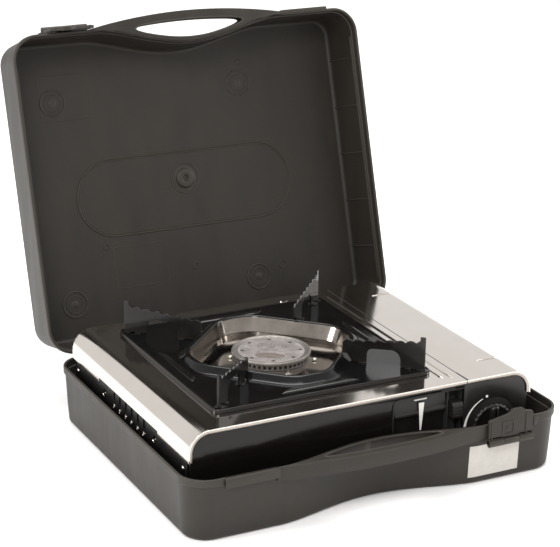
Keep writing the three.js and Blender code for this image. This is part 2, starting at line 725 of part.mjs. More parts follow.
// The lever's block in front of the panel, its stem through the slot and its tongue behind.
function lockLever() {
  const half = LEVER.width / 2;
  const blockBack = panelFace + BEZEL.depth - 1;
  const face = [
    [panelFace - LEVER.proud, LEVER.low],
    [blockBack, LEVER.low],
    [blockBack, LEVER.high],
    [panelFace - LEVER.proud + 2, LEVER.high],
    [panelFace - LEVER.proud, LEVER.high - 3],
  ];
  const tongueY = STOVE.frontY + REGULATOR.from + 8;
  return join(
    prism("x", face, LEVER.x - half, LEVER.x + half),
    box(LEVER.x - 2.6, LEVER.x + 2.6, blockBack - 1, tongueY, LEVER.low + 3, LEVER.high - 4),
  );
}

function controlKnob() {
  const [back, front] = [panelFace + BEZEL.depth - KNOB.rear, panelFace - KNOB.front];
  const disc = join(
    rod("y", KNOB.radius, KNOB.x, KNOB.z, front + 3, back, 40),
    rod("y", KNOB.radius - 1.5, KNOB.x, KNOB.z, front + 1.5, back, 40),
  );
  const half = KNOB.bar / 2;
  const bar = prism("y", roundedFront(KNOB.x - half, KNOB.x + half, KNOB.z - KNOB.radius + 2,
    KNOB.z + KNOB.radius - 2, 3, 3).reverse(), front + 1.5 - KNOB.barProud, back);
  return cut(join(disc, bar), rod("y", KNOB.stem + GAP, KNOB.x, KNOB.z, front + 5, back + 1, 20));
}

function addFront() {
  place("front_panel", frontPanel(), "panel_plastic");
  place("back_panel", backPanel(), "black_steel");
  place("control_bezel", controlBezel(), "black_plastic");
  place("lock_lever", lockLever(), "black_plastic");
  place("control_knob", controlKnob(), "black_plastic");
  const y0 = panelFace - KNOB.front + 5 + GAP;
  const regulatorY = STOVE.frontY + REGULATOR.from;
  place("valve_stem", rod("y", KNOB.stem, KNOB.x, KNOB.z, y0, regulatorY + 6, 20), "brass");
  const regulatorBack = STOVE.frontY + REGULATOR.to;
  const body = join(
    rod("y", REGULATOR.radius, CANISTER.x, CANISTER.z, regulatorY, regulatorBack, 32),
    box(CANISTER.x - 12, CANISTER.x + 12, regulatorY + 3, regulatorBack - 4,
      CANISTER.z - REGULATOR.radius - 6, CANISTER.z),
  );
  const bore = rod("y", KNOB.stem + GAP, KNOB.x, KNOB.z, regulatorY - 1, regulatorY + 6 + GAP, 20);
  place("regulator_body", cut(body, bore), "aluminium");
  place("canister_nozzle", nozzle(regulatorBack), "brass");
  place("canister_pusher", pusher(), "steel");
  addIgniter();
}

function nozzle(regulatorBack) {
  const y0 = regulatorBack + GAP;
  return cut(
    rod("y", NOZZLE.radius, CANISTER.x, CANISTER.z, y0, y0 + NOZZLE.length, 20),
    rod("y", NOZZLE.radius / 2, CANISTER.x, CANISTER.z, y0 + NOZZLE.length / 2, y0 + NOZZLE.length + 1, 16),
  );
}

// The plate that the lever draws forwards, with its collar round the nozzle.
function pusher() {
  const y0 = STOVE.frontY + PUSHER.from;
  const [x, z] = [CANISTER.x, CANISTER.z];
  const plate = box(x - PUSHER.wide / 2, x + PUSHER.wide / 2, y0, y0 + PUSHER.thick,
    z - PUSHER.tall / 2, z + PUSHER.tall / 2 - 3);
  const collar = rod("y", PUSHER.hole + 2, x, z, y0, y0 + PUSHER.thick + 3, 32);
  return cut(join(plate, collar), rod("y", PUSHER.hole, x, z, y0 - 1, y0 + 9, 32));
}

function addIgniter() {
  const y0 = STOVE.frontY + PIEZO.from;
  const y1 = y0 + PIEZO.length;
  place("piezo_igniter", join(
    rod("y", PIEZO.radius, PIEZO.x, PIEZO.z, y0, y1 - 6, 20),
    rod("y", PIEZO.radius * 0.6, PIEZO.x, PIEZO.z, y1 - 7, y1, 16),
  ), "black_plastic");
  const footEnd = topZ - WELL.depth - STOVE.sheet - ELECTRODE.below;
  const route = [
    [PIEZO.x, y1 + GAP, PIEZO.z],
    [PIEZO.x, y1 + 3, PIEZO.z],
    [PARTITION.x + 4, y1 + 6, PIEZO.z - 8],
    [PARTITION.x - 34, y1 + 14, floorTop + 4],
    [PARTITION.x - 80, y1 + 30, floorTop + 4],
    [electrodeX + 16, electrodeY - 8, floorTop + 12],
    [electrodeX + 3, electrodeY - 2, footEnd - 18],
    [electrodeX, electrodeY, footEnd - GAP],
  ];
  place("igniter_wire", along(route, 1.1), "wire");
  const top = topZ - WELL.depth + ELECTRODE.height;
  place("electrode_insulator", cut(
    rod("z", ELECTRODE.body, electrodeX, electrodeY, footEnd, top, 16),
    rod("z", ELECTRODE.tip + GAP, electrodeX, electrodeY, top - 4, top + 1, 12),
  ), "ceramic");
  place("spark_electrode",
    rod("z", ELECTRODE.tip, electrodeX, electrodeY, top - 4 + GAP, top + ELECTRODE.tipHeight, 12), "steel");
}

// ---------------------------------------------------------------- burner

function addBurner() {
  const [x, y] = [SUPPORT.middleX, SUPPORT.middleY];
  const capLow = burnerTop - BURNER.capHeight;
  const cap = lathe([[0, capLow], [BURNER.radius - 2, capLow], [BURNER.radius, capLow + 1],
    [BURNER.radius, burnerTop - 0.8], [BURNER.radius - 1, burnerTop], [BURNER.radius - 4, burnerTop - 1],
    [0, burnerTop - 0.6]], x, y);
  const capHoles = Array.from({ length: BURNER.capHoles }, (_, i) => {
    const angle = (2 * Math.PI * (i + 0.5)) / BURNER.capHoles;
    return rod("z", 1.3, x + BURNER.capHoleRing * Math.cos(angle), y + BURNER.capHoleRing * Math.sin(angle),
      capLow - 1, burnerTop + 1, 8);
  });
  place("burner_cap", cut(cap, ...capHoles), "burner_metal");

  const ringTop = capLow - GAP;
  const ringLow = ringTop - BURNER.ringHeight;
  const ring = cut(
    rod("z", BURNER.ringRadius, x, y, ringLow, ringTop, 40),
    rod("z", BURNER.ringRadius - BURNER.ringWall, x, y, ringLow - 1, ringTop + 1, 40),
  );
  const ports = Array.from({ length: BURNER.ports }, (_, i) => {
    const half = BURNER.portWidth / 2;
    const port = new THREE.BoxGeometry(14, half * 2, 3);
    port.translate(BURNER.ringRadius, 0, ringTop - 1.6 + 0.01);
    port.rotateZ((2 * Math.PI * i) / BURNER.ports).translate(x, y, 0);
    return solid(port);
  });
  place("burner_ring", cut(ring, ...ports), "aluminium");

  const top = ringLow - GAP;
  const bowlLow = top - BURNER.bowlHeight + BURNER.wall;
  const neckLow = MIXER.z - MIXER.radius - 2;
  const { bowlRadius, neckRadius, wall } = BURNER;
  const wellFloor = topZ - WELL.depth;
  const base = lathe([[0, neckLow], [neckRadius, neckLow], [neckRadius, wellFloor + GAP],
    [bowlRadius - 6, wellFloor + GAP], [bowlRadius, bowlLow], [bowlRadius, top], [bowlRadius - wall, top],
    [bowlRadius - wall, bowlLow + 1], [neckRadius - wall, bowlLow - 2], [neckRadius - wall, neckLow + wall],
    [0, neckLow + wall]], x, y);
  const inlet = rod("x", MIXER.bore, y, MIXER.z, x, x + neckRadius + 5, 24);
  place("burner_base", cut(base, inlet), "aluminium");
  const tubeFrom = x + neckRadius + GAP;
  place("mixing_tube", tube("x", MIXER.radius, MIXER.bore, y, MIXER.z, tubeFrom, MIXER.to), "aluminium");
  const jetFrom = MIXER.to - 4;
  place("gas_jet", cut(
    rod("x", JET.radius, y, MIXER.z, jetFrom, jetFrom + JET.length, 16),
    rod("x", 0.6, y, MIXER.z, jetFrom - 1, jetFrom + 4, 8),
  ), "brass");
  const valveY = STOVE.frontY + REGULATOR.from + 12;
  const route = [
    [jetFrom + JET.length + GAP, y, MIXER.z],
    [jetFrom + JET.length + 3, y, MIXER.z],
    [PARTITION.x - 8, y - 8, MIXER.z - 4],
    [PARTITION.x - 7, y - 30, MIXER.z - 12],
    [PARTITION.x - 7, valveY + 24, CANISTER.z + 2],
    [PARTITION.x, valveY + 5, CANISTER.z],
    [CANISTER.x - REGULATOR.radius - 10, valveY, CANISTER.z],
    [CANISTER.x - REGULATOR.radius - GAP, valveY, CANISTER.z],
  ];
  place("gas_pipe", along(route, 2.2, 10), "aluminium");
}

// ---------------------------------------------------------------- pan support

const sheetLow = topZ + SUPPORT.rise;
const sheetTop = sheetLow + SUPPORT.sheet;

function supportPlate() {
  const { middleX: x, middleY: y, half, corner, sheet, wall } = SUPPORT;
  const square = (inset) => {
    const h = half - inset;
    return rounded([[x - h, y - h], [x + h, y - h], [x + h, y + h], [x - h, y + h]], corner, 4);
  };
  const plate = prism("z", square(0), sheetLow, sheetTop);
  const lip = cut(
    prism("z", square(0), topZ + GAP, sheetTop),
    prism("z", square(sheet), topZ, sheetTop + 1),
  );
  const crest = topZ + SUPPORT.collarTop;
  const foot = topZ + SUPPORT.collarBottom;
  const [inDraft, outDraft] = [SUPPORT.collarInDraft, SUPPORT.collarOutDraft];
  const outside = loft([opening(wall + 2 + outDraft, sheetLow), opening(wall + 2, crest)]);
  const under = loft([opening(2 + outDraft, sheetLow - 1), opening(2, crest - wall)]);
  const inDepth = crest - foot;
  const skirt = loft([opening(wall - inDraft, foot), opening(wall, crest - 0.1)]);
  const slope = inDraft / inDepth;
  const through = loft([opening(-inDraft - slope, foot - 1), opening(slope, crest + 1)]);
  const hollow = cut(join(plate, lip, outside), under);
  return cut(join(hollow, skirt), through);
}

// A fin's side view: distance from the support's middle, and height above its foot.
function finOutline() {
  const { inner, outer, postHeight, postWidth, shoulder, innerHeight, teeth, toothDepth } = FIN;
  const clearFoot = SUPPORT.collarDiagonal + SUPPORT.wall + 2 + SUPPORT.collarOutDraft + 1.5;
  const clearTop = SUPPORT.collarTop - SUPPORT.rise - SUPPORT.sheet + 0.6;
  const postFoot = outer - postWidth;
  const run = postFoot - 4 - inner;
  const edge = Array.from({ length: teeth * 4 + 1 }, (_, i) => {
    const t = i / (teeth * 4);
    const dip = toothDepth * Math.abs(Math.sin(Math.PI * teeth * t));
    return [postFoot - 4 - run * t, shoulder + (innerHeight - shoulder) * t - toothDepth + dip];
  });
  return [
    [clearFoot, 0],
    [FIN.archFrom, 0],
    ...arc(FIN.archFrom + 6, FIN.archHeight - 7, 6, 180, 100, 4),
    ...arc(FIN.archTo - 9, FIN.archHeight - 9, 9, 85, 0, 4),
    [FIN.archTo, 0],
    [outer, 0],
    [outer, postHeight],
    [postFoot, postHeight],
    [postFoot, shoulder + 0.8],
    ...edge,
    [inner, clearTop],
    [clearFoot - 4, clearTop],
    [clearFoot, clearTop - 6],
  ];
}

function addSupport() {
  place("support_plate", supportPlate(), "enamel");
  const corners = [["front_left", 225], ["front_right", 315], ["back_right", 45], ["back_left", 135]];
  for (const [name, degrees] of corners) {
    const shape = new THREE.Shape(finOutline().map(([u, z]) => new THREE.Vector2(u, z)));
    const geometry = new THREE.ExtrudeGeometry(shape, { depth: FIN.thick, bevelEnabled: false });
    geometry.translate(0, 0, -FIN.thick / 2).rotateX(Math.PI / 2);
    geometry.rotateZ(THREE.MathUtils.degToRad(degrees));
    geometry.translate(SUPPORT.middleX, SUPPORT.middleY, sheetTop + GAP);
    place(`support_fin_${name}`, solid(geometry), "enamel");
  }
}

addCase();
addLid();
addBody();
addFront();
addBurner();
addSupport();

export default stove;
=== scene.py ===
"""A single-burner butane table stove in its open carrying case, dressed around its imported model.

Sizes in this file are millimetres unless a name says otherwise; meshes are made in metres.
X runs to the right seen from the front, Y to the back, Z up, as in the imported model.
"""

from __future__ import annotations

import json
import logging
import math
from dataclasses import dataclass, field
from enum import Enum
from typing import Iterable, Sequence

import bmesh
import bpy
from mathutils import Matrix, Vector

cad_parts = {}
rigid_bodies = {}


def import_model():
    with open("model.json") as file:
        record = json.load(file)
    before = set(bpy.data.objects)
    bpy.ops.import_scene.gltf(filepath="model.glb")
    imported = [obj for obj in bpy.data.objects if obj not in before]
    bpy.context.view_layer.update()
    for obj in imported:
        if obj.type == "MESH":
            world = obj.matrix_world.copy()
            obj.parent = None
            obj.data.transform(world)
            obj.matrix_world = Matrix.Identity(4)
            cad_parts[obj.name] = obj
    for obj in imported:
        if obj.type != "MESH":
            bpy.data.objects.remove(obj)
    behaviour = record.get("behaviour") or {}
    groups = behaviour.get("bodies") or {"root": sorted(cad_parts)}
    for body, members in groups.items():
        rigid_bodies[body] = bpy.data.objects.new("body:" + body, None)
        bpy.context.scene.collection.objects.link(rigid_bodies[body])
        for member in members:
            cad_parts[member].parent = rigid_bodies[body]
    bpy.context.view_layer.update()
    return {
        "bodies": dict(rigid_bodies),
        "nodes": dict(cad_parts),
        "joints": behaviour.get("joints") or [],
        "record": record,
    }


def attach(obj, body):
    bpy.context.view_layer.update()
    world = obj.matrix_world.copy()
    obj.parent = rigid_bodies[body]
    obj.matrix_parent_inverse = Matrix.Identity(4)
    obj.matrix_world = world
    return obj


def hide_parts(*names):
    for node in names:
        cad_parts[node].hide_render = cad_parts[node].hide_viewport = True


LOG = logging.getLogger("stove")
MM = 0.001
Point = tuple[float, float, float]
Flat = tuple[float, float]


class Body(str, Enum):
    """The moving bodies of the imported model."""

    CASE = "case"
    LID = "lid"
    BOTTOM_LATCH = "bottom_latch"
    LID_LATCH = "lid_latch"
    STOVE = "stove"
    SUPPORT = "support"
    COVER = "cover"
    LEVER = "lever"
    KNOB = "knob"


class Axis(Enum):
    """Which way an outline is pushed. The value maps (u, v, depth) to X, Y, Z."""

    X = (2, 0, 1)
    Y = (0, 2, 1)
    Z = (0, 1, 2)

    def point(self, u: float, v: float, depth: float) -> Point:
        """Places an outline point at a depth along the axis."""
        spread = (u, v, depth)
        return (spread[self.value[0]], spread[self.value[1]], spread[self.value[2]])


# ------------------------------------------------------------------ shapes


def polar(cx: float, cy: float, radius: float, turn: float) -> Flat:
    """The point at a radius and a turn in radians round a centre."""
    return (cx + radius * math.cos(turn), cy + radius * math.sin(turn))


def arc(cx: float, cy: float, radius: float, start: float, end: float, steps: int) -> list[Flat]:
    """Points on a circular arc.

    Args:
        cx: Centre, first coordinate.
        cy: Centre, second coordinate.
        radius: Radius of the arc.
        start: First angle in degrees.
        end: Last angle in degrees.
        steps: Number of spans.

    Returns:
        steps + 1 points from start to end.
    """
    turns = [math.radians(start + (end - start) * i / steps) for i in range(steps + 1)]
    return [polar(cx, cy, radius, turn) for turn in turns]


def circle(cx: float, cy: float, radius: float, count: int) -> list[Flat]:
    """A whole circle as count points."""
    return arc(cx, cy, radius, 0, 360 - 360 / count, count - 1)


def rectangle(x0: float, x1: float, z0: float, z1: float) -> list[Flat]:
    """The corners of a rectangle."""
    return [(x0, z0), (x1, z0), (x1, z1), (x0, z1)]


def stadium(cx: float, cy: float, half: float, radius: float, steps: int = 16) -> list[Flat]:
    """A slot outline along X: two half circles and the straights between them."""
    return [*arc(cx + half, cy, radius, -90, 90, steps), *arc(cx - half, cy, radius, 90, 270, steps)]


def level(outline: Iterable[Flat], z: float) -> list[Point]:
    """An outline laid flat at a height."""
    return [(x, y, z) for x, y in outline]


def upright(outline: Iterable[Flat], y: float) -> list[Point]:
    """An outline stood up facing the front, at a place in Y."""
    return [(x, y, z) for x, z in outline]


def round_rect(x0: float, x1: float, z0: float, z1: float, low: float, high: float,
               steps: int = 8) -> list[Flat]:
    """A rectangle with its own corner radius at the bottom and at the top, anticlockwise."""
    return [
        *arc(x0 + low, z0 + low, low, 180, 270, steps),
        *arc(x1 - low, z0 + low, low, 270, 360, steps),
        *arc(x1 - high, z1 - high, high, 0, 90, steps),
        *arc(x0 + high, z1 - high, high, 90, 180, steps),
    ]


def fillet(corners: Sequence[Flat], radius: float, steps: int = 6) -> list[Flat]:
    """Rounds every corner of a closed outline.

    Args:
        corners: The outline's corners in order.
        radius: How far from each corner the rounding starts.
        steps: Spans in each rounding.

    Returns:
        The rounded outline.
    """
    made: list[Flat] = []
    for i, corner in enumerate(corners):
        here = Vector(corner)
        back = Vector(corners[i - 1]) - here
        ahead = Vector(corners[(i + 1) % len(corners)]) - here
        reach = min(radius, back.length * 0.45, ahead.length * 0.45)
        a, b = here + back.normalized() * reach, here + ahead.normalized() * reach
        for k in range(steps + 1):
            t = k / steps
            p = a.lerp(here, t).lerp(here.lerp(b, t), t)
            made.append((p.x, p.y))
    return made


@dataclass
class Shape:
    """A mesh under construction: points in millimetres and faces."""

    points: list[Point] = field(default_factory=list)
    faces: list[tuple[int, ...]] = field(default_factory=list)

    def add(self, points: Iterable[Point], faces: Iterable[Sequence[int]]) -> Shape:
        """Adds points and faces that count from the first of those points."""
        base = len(self.points)
        self.points.extend(points)
        self.faces.extend(tuple(base + i for i in f) for f in faces)
        return self

    def loft(self, rings: Sequence[Sequence[Point]], closed: bool = False, capped: bool = True) -> Shape:
        """Skins rings of equal counts.

        Args:
            rings: The rings in order.
            closed: Whether the last ring joins the first.
            capped: Whether the two end rings are filled.

        Returns:
            This shape.
        """
        count = len(rings[0])
        points = [p for ring in rings for p in ring]
        faces: list[tuple[int, ...]] = []
        pairs = len(rings) if closed else len(rings) - 1
        for level in range(pairs):
            low, high = level * count, (level + 1) % len(rings) * count
            for i in range(count):
                n = (i + 1) % count
                faces.append((low + i, low + n, high + n, high + i))
        if capped and not closed:
            last = (len(rings) - 1) * count
            faces.append(tuple(reversed(range(count))))
            faces.append(tuple(range(last, last + count)))
        return self.add(points, faces)

    def prism(self, outline: Sequence[Flat], start: float, end: float, axis: Axis) -> Shape:
        """Pushes an outline along an axis from start to end."""
        return self.loft([[axis.point(u, v, d) for u, v in outline] for d in (start, end)])

    def frame(self, outer: Sequence[Flat], inner: Sequence[Flat], start: float, end: float,
              axis: Axis) -> Shape:
        """A prism with a hole: the outer and inner outlines have equal counts."""
        rings = [
            [axis.point(u, v, d) for u, v in outline]
            for outline, d in ((outer, start), (outer, end), (inner, end), (inner, start))
        ]
        return self.loft(rings, closed=True)

    def lathe(self, profile: Sequence[Flat], centre: Point, axis: Axis = Axis.Z, steps: int = 64) -> Shape:
        """Turns a profile of (radius, height) about an axis through centre.

        Args:
            profile: Points from the axis round to the axis, or a closed loop off the axis.
            centre: A point on the axis.
            axis: The turning axis.
            steps: Number of spans round.

        Returns:
            This shape.
        """
        rings = []
        for radius, height in profile:
            # A point on the axis becomes a tiny ring, which the merge of close points shuts.
            placed = [axis.point(u, v, height) for u, v in circle(0, 0, max(radius, 1e-5), steps)]
            rings.append([tuple(a + b for a, b in zip(p, centre)) for p in placed])
        on_axis = profile[0][0] == 0 and profile[-1][0] == 0
        return self.loft(rings, closed=not on_axis, capped=False)

    def tube(self, path: Sequence[Point], radius: float, closed: bool = False, sides: int = 10) -> Shape:
        """A round bead along a path."""
        route = [Vector(p) for p in path]
        rings = []
        normal = Vector((0, 0, 1))
        for i, here in enumerate(route):
            after = route[(i + 1) % len(route)] if closed or i + 1 < len(route) else here
            before = route[i - 1] if closed or i else here
            along = (after - before).normalized()
            if abs(along.dot(normal)) > 0.95:
                normal = Vector((0, 1, 0))
            side = along.cross(normal).normalized()
            normal = side.cross(along).normalized()
            turns = [2 * math.pi * k / sides for k in range(sides)]
            rings.append([tuple(here + (side * math.cos(t) + normal * math.sin(t)) * radius) for t in turns])
        return self.loft(rings, closed=closed)

    def object(self, name: str, finish: bpy.types.Material, sharp: float = 35.0, bevel: float = 0.0,
               bevel_steps: int = 2) -> bpy.types.Object:
        """Makes the Blender object, its faces pointing out.

        Args:
            name: The piece's name.
            finish: Its material.
            sharp: Edges steeper than this many degrees stay sharp.
            bevel: Rounding of its sharp edges in millimetres, or 0.
            bevel_steps: Spans in that rounding.

        Returns:
            The object, at the origin.
        """
        mesh = bpy.data.meshes.new(name)
        mesh.from_pydata([tuple(c * MM for c in p) for p in self.points], [], self.faces)
        work = bmesh.new()
        work.from_mesh(mesh)
        bmesh.ops.remove_doubles(work, verts=work.verts, dist=2e-6)
        bmesh.ops.dissolve_degenerate(work, edges=work.edges, dist=1e-6)
        bmesh.ops.recalc_face_normals(work, faces=work.faces)
        work.to_mesh(mesh)
        work.free()
        mesh.materials.append(finish)
        made = bpy.data.objects.new(name, mesh)
        bpy.context.scene.collection.objects.link(made)
        if bevel:
            round_edges(made, bevel, sharp, bevel_steps)
        smooth_shade(made, sharp)
        return made


def apply_modifiers(made: bpy.types.Object) -> None:
    """Turns an object's modifiers into plain mesh."""
    graph = bpy.context.evaluated_depsgraph_get()
    graph.update()
    final = bpy.data.meshes.new_from_object(made.evaluated_get(graph))
    made.modifiers.clear()
    old = made.data
    made.data = final
    final.name = old.name
    bpy.data.meshes.remove(old)


def round_edges(made: bpy.types.Object, bevel: float, sharp: float, steps: int = 2) -> None:
    """Rounds an object's edges.

    Args:
        made: The object to change.
        bevel: Width of the rounding in millimetres.
        sharp: Edges steeper than this many degrees are rounded.
        steps: Spans in the rounding.
    """
    modifier = made.modifiers.new("edges", "BEVEL")
    modifier.width = bevel * MM
    modifier.segments = steps
    modifier.limit_method = "ANGLE"
    modifier.angle_limit = math.radians(sharp)
    apply_modifiers(made)


def weigh_normals(made: bpy.types.Object) -> None:
    """Leans the smooth shading towards the large faces, so that flats look flat."""
    modifier = made.modifiers.new("flats", "WEIGHTED_NORMAL")
    modifier.keep_sharp = True
    apply_modifiers(made)


def carve(made: bpy.types.Object, cutter: Shape) -> None:
    """Cuts a shape out of an object."""
    tool = cutter.object("tool", made.data.materials[0])
    modifier = made.modifiers.new("carve", "BOOLEAN")
    modifier.object = tool
    modifier.operation = "DIFFERENCE"
    modifier.solver = "EXACT"
    apply_modifiers(made)
    bpy.data.objects.remove(tool)


def settle(made: bpy.types.Object, body: Body, replaced: Sequence[str] = ()) -> bpy.types.Object:
    """Ties a finished piece to its body and the nodes it stands for."""
    if replaced:
        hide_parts(*replaced)
    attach(made, body.value)
    LOG.info("%s rides on %s, %d faces", made.name, body.value, len(made.data.polygons))
    return made


def smooth_shade(made: bpy.types.Object, sharp: float = 30.0) -> None:
    """Smooth shading with edges above an angle kept sharp."""
    made.data.shade_smooth()
    made.data.set_sharp_from_angle(angle=math.radians(sharp))


# ------------------------------------------------------------------ finishes


def linear(hex_colour: str) -> tuple[float, float, float, float]:
    """An sRGB hex colour as linear RGBA."""
    parts = [int(hex_colour[i : i + 2], 16) / 255 for i in (1, 3, 5)]
    made = [c / 12.92 if c <= 0.04045 else ((c + 0.055) / 1.055) ** 2.4 for c in parts]
    return (made[0], made[1], made[2], 1.0)


def add_node(tree: bpy.types.NodeTree, kind: str, settings: dict[str, object] | None = None,
             **inputs: object) -> bpy.types.Node:
    """Adds one node with its settings and its inputs.

    Args:
        tree: The node tree.
        kind: The node's type.
        settings: Attributes of the node.
        **inputs: Input values, or output sockets to link. A key is the input's name with _ for a
            space, or i and its number.

    Returns:
        The node.
    """
    node = tree.nodes.new(kind)
    for key, value in (settings or {}).items():
        setattr(node, key, value)
    for key, value in inputs.items():
        by_number = key[0] == "i" and key[1:].isdigit()
        socket = node.inputs[int(key[1:]) if by_number else key.replace("_", " ")]
        if isinstance(value, bpy.types.NodeSocket):
            tree.links.new(value, socket)
        else:
            socket.default_value = value
    return node


@dataclass(frozen=True)
class Finish:
    """A surface: a base colour that varies, a roughness that varies, a fine relief, and a painted highlight
    on its ridges where an edge colour is set.

    The variation is drawn from noise on the piece's own coordinates, in millimetres.
    """

    name: str
    colour: str
    second: str
    roughness: float
    metallic: float = 0.0
    ior: float = 1.5
    coat: float = 0.0
    coat_roughness: float = 0.1
    patch_mm: float = 40.0
    patch_contrast: float = 0.5
    roughness_spread: float = 0.06
    grain_mm: float = 0.5
    grain_depth_mm: float = 0.0
    stretch: Point = (1.0, 1.0, 1.0)
    edge_highlight_colour: str = ""
    specular: float = 0.5

    def build(self) -> bpy.types.Material:
        """The material, made once."""
        if self.name in bpy.data.materials:
            return bpy.data.materials[self.name]
        made = bpy.data.materials.new(self.name)
        made.use_nodes = True
        tree = made.node_tree
        shader = tree.nodes["Principled BSDF"]
        place = add_node(tree, "ShaderNodeTexCoord").outputs["Object"]
        turned = add_node(tree, "ShaderNodeMapping", None, Vector=place, Scale=self.stretch).outputs["Vector"]
        patch = add_node(tree, "ShaderNodeTexNoise", None, Vector=turned, Scale=1 / (self.patch_mm * MM),
                         Detail=4.0, Roughness=0.6).outputs["Fac"]
        spread = add_node(tree, "ShaderNodeMapRange", None, Value=patch,
                          From_Min=0.5 - self.patch_contrast / 2,
                          From_Max=0.5 + self.patch_contrast / 2).outputs["Result"]
        tint = add_node(tree, "ShaderNodeMix", {"data_type": "RGBA"}, Factor=spread, i6=linear(self.colour),
                        i7=linear(self.second)).outputs[2]
        # Ridges lightened by the edge colour: a painted highlight.
        tint = self.paint_edge_highlight(tree, tint)
        tree.links.new(tint, shader.inputs["Base Color"])
        rough = add_node(tree, "ShaderNodeMapRange", None, Value=patch, From_Min=0.3, From_Max=0.7,
                         To_Min=max(0.02, self.roughness - self.roughness_spread),
                         To_Max=self.roughness + self.roughness_spread).outputs["Result"]
        tree.links.new(rough, shader.inputs["Roughness"])
        shader.inputs["Metallic"].default_value = self.metallic
        if not self.metallic:
            shader.inputs["IOR"].default_value = self.ior
            shader.inputs["Specular IOR Level"].default_value = self.specular
        shader.inputs["Coat Weight"].default_value = self.coat
        shader.inputs["Coat Roughness"].default_value = self.coat_roughness
        if self.grain_depth_mm:
            grain = add_node(tree, "ShaderNodeTexNoise", None, Vector=turned, Scale=1 / (self.grain_mm * MM),
                             Detail=3.0, Roughness=0.55).outputs["Fac"]
            relief = add_node(tree, "ShaderNodeBump", None, Height=grain, Distance=self.grain_depth_mm * MM,
                              Strength=0.6).outputs["Normal"]
            tree.links.new(relief, shader.inputs["Normal"])
        return made

    def paint_edge_highlight(self, tree: bpy.types.NodeTree, tint: bpy.types.NodeSocket) -> bpy.types.NodeSocket:
        """Lightens the ridges as a painted highlight, if an edge colour is set."""
        if not self.edge_highlight_colour:
            return tint
        ridge = add_node(tree, "ShaderNodeNewGeometry").outputs["Pointiness"]
        mask = add_node(tree, "ShaderNodeMapRange", None, Value=ridge, From_Min=0.52, From_Max=0.62,
                        To_Max=0.5).outputs["Result"]
        return add_node(tree, "ShaderNodeMix", {"data_type": "RGBA"}, Factor=mask, i6=tint,
                        i7=linear(self.edge_highlight_colour)).outputs[2]


# Blow-moulded polyethylene: a satin skin with flow streaks down the walls, its rims lightened as a painted
# highlight.
CASE_POLYETHYLENE = Finish("blow_moulded_polyethylene", "#221f1b", "#2a2621", 0.5, patch_mm=26,
                           stretch=(1, 1, 0.18), grain_mm=0.9, grain_depth_mm=0.02,
                           edge_highlight_colour="#4a453d", specular=0.3)
# Bright annealed stainless sheet: close to a mirror, with faint rolling waviness.
BRIGHT_STAINLESS = Finish("bright_annealed_stainless", "#dad4ce", "#d2cbc4", 0.12, 1.0, patch_mm=60,
                          roughness_spread=0.025, grain_mm=18, grain_depth_mm=0.012)
# Gloss ABS: the deep black front with a polished mould finish.
GLOSS_ABS = Finish("gloss_moulded_abs", "#0d0b0a", "#110f0d", 0.13, patch_mm=50, roughness_spread=0.03,
                   specular=0.27)
# Satin ABS: spark-eroded controls, finely grained, their ridges lightened as a painted highlight.
SATIN_ABS = Finish("satin_moulded_abs", "#121110", "#191716", 0.36, patch_mm=12, grain_mm=0.35,
                   grain_depth_mm=0.012, edge_highlight_colour="#34312d", specular=0.4)
# Vitreous enamel on pressed steel: glassy black, slightly uneven, its edges lightened as a painted highlight.
VITREOUS_ENAMEL = Finish("vitreous_enamel", "#060606", "#0c0b0b", 0.14, patch_mm=14, roughness_spread=0.06,
                         grain_mm=3.5, grain_depth_mm=0.035, edge_highlight_colour="#3a3733", specular=0.27)
# Powder-coated sheet of the lower body: dull black with a fine orange peel.
POWDER_COAT = Finish("powder_coated_sheet", "#0b0a0a", "#121110", 0.4, patch_mm=10, grain_mm=0.6,
                     grain_depth_mm=0.03)
# Pressed aluminium of the burner's cap: pale and matt, its ridges painted brighter as a highlight.
PRESSED_ALUMINIUM = Finish("pressed_aluminium", "#b4adaa", "#aaa29f", 0.36, 0.75, patch_mm=9, grain_mm=0.4,
                           grain_depth_mm=0.02, roughness_spread=0.1, edge_highlight_colour="#e4dcd8")
# Die-cast aluminium of the burner's head: greyer, with the grain of the casting.
CAST_ALUMINIUM = Finish("die_cast_aluminium", "#8d8884", "#736e69", 0.46, 0.85, patch_mm=6, grain_mm=0.5,
                        grain_depth_mm=0.05, roughness_spread=0.1)
# Small metal parts: brass fittings, bright steel wire and yellowish zinc plate.
TURNED_BRASS = Finish("turned_brass", "#b8954f", "#a17f3c", 0.28, 1.0, patch_mm=4)
DRAWN_STEEL = Finish("drawn_steel_wire", "#c9c6c2", "#a9a5a0", 0.25, 1.0, patch_mm=5)
ZINC_PLATE = Finish("zinc_plated_steel", "#b4b3ae", "#a3a08f", 0.34, 1.0, patch_mm=12)
# Rubber of the feet and seals: the dullest black.
MOULDED_RUBBER = Finish("moulded_rubber", "#171716", "#201f1e", 0.78, patch_mm=5, grain_mm=0.4,
                        grain_depth_mm=0.03)
# The electrode's glazed body and the red sleeve of its wire.
GLAZED_CERAMIC = Finish("glazed_ceramic", "#ece8df", "#ddd8cc", 0.18, patch_mm=4)
SILICONE_SLEEVE = Finish("silicone_sleeve", "#a83a2c", "#8f3024", 0.5, patch_mm=6)
# The turned-in edges of the steel top, rubbed duller than its face.
HEM_STEEL = Finish("brushed_stainless_hem", "#aba39c", "#a0988f", 0.3, 1.0, patch_mm=20,
                   roughness_spread=0.05, grain_mm=1.2, grain_depth_mm=0.01)
# A darker grey aluminium for the marks on the cap.
DARK_CAP_ALUMINIUM = Finish("dark_cap_aluminium", "#6d645f", "#7d736d", 0.5, 0.6, patch_mm=3,
                            roughness_spread=0.1)
# Light grey steel laid over the collar's inner wall: a painted reflection, standing in for the sheen of the
# enamel there.
COLLAR_REFLECTION_STEEL = Finish("collar_reflection_steel", "#948d86", "#6d6760", 0.17, 1.0, patch_mm=22,
                     roughness_spread=0.05, grain_mm=7, grain_depth_mm=0.05)
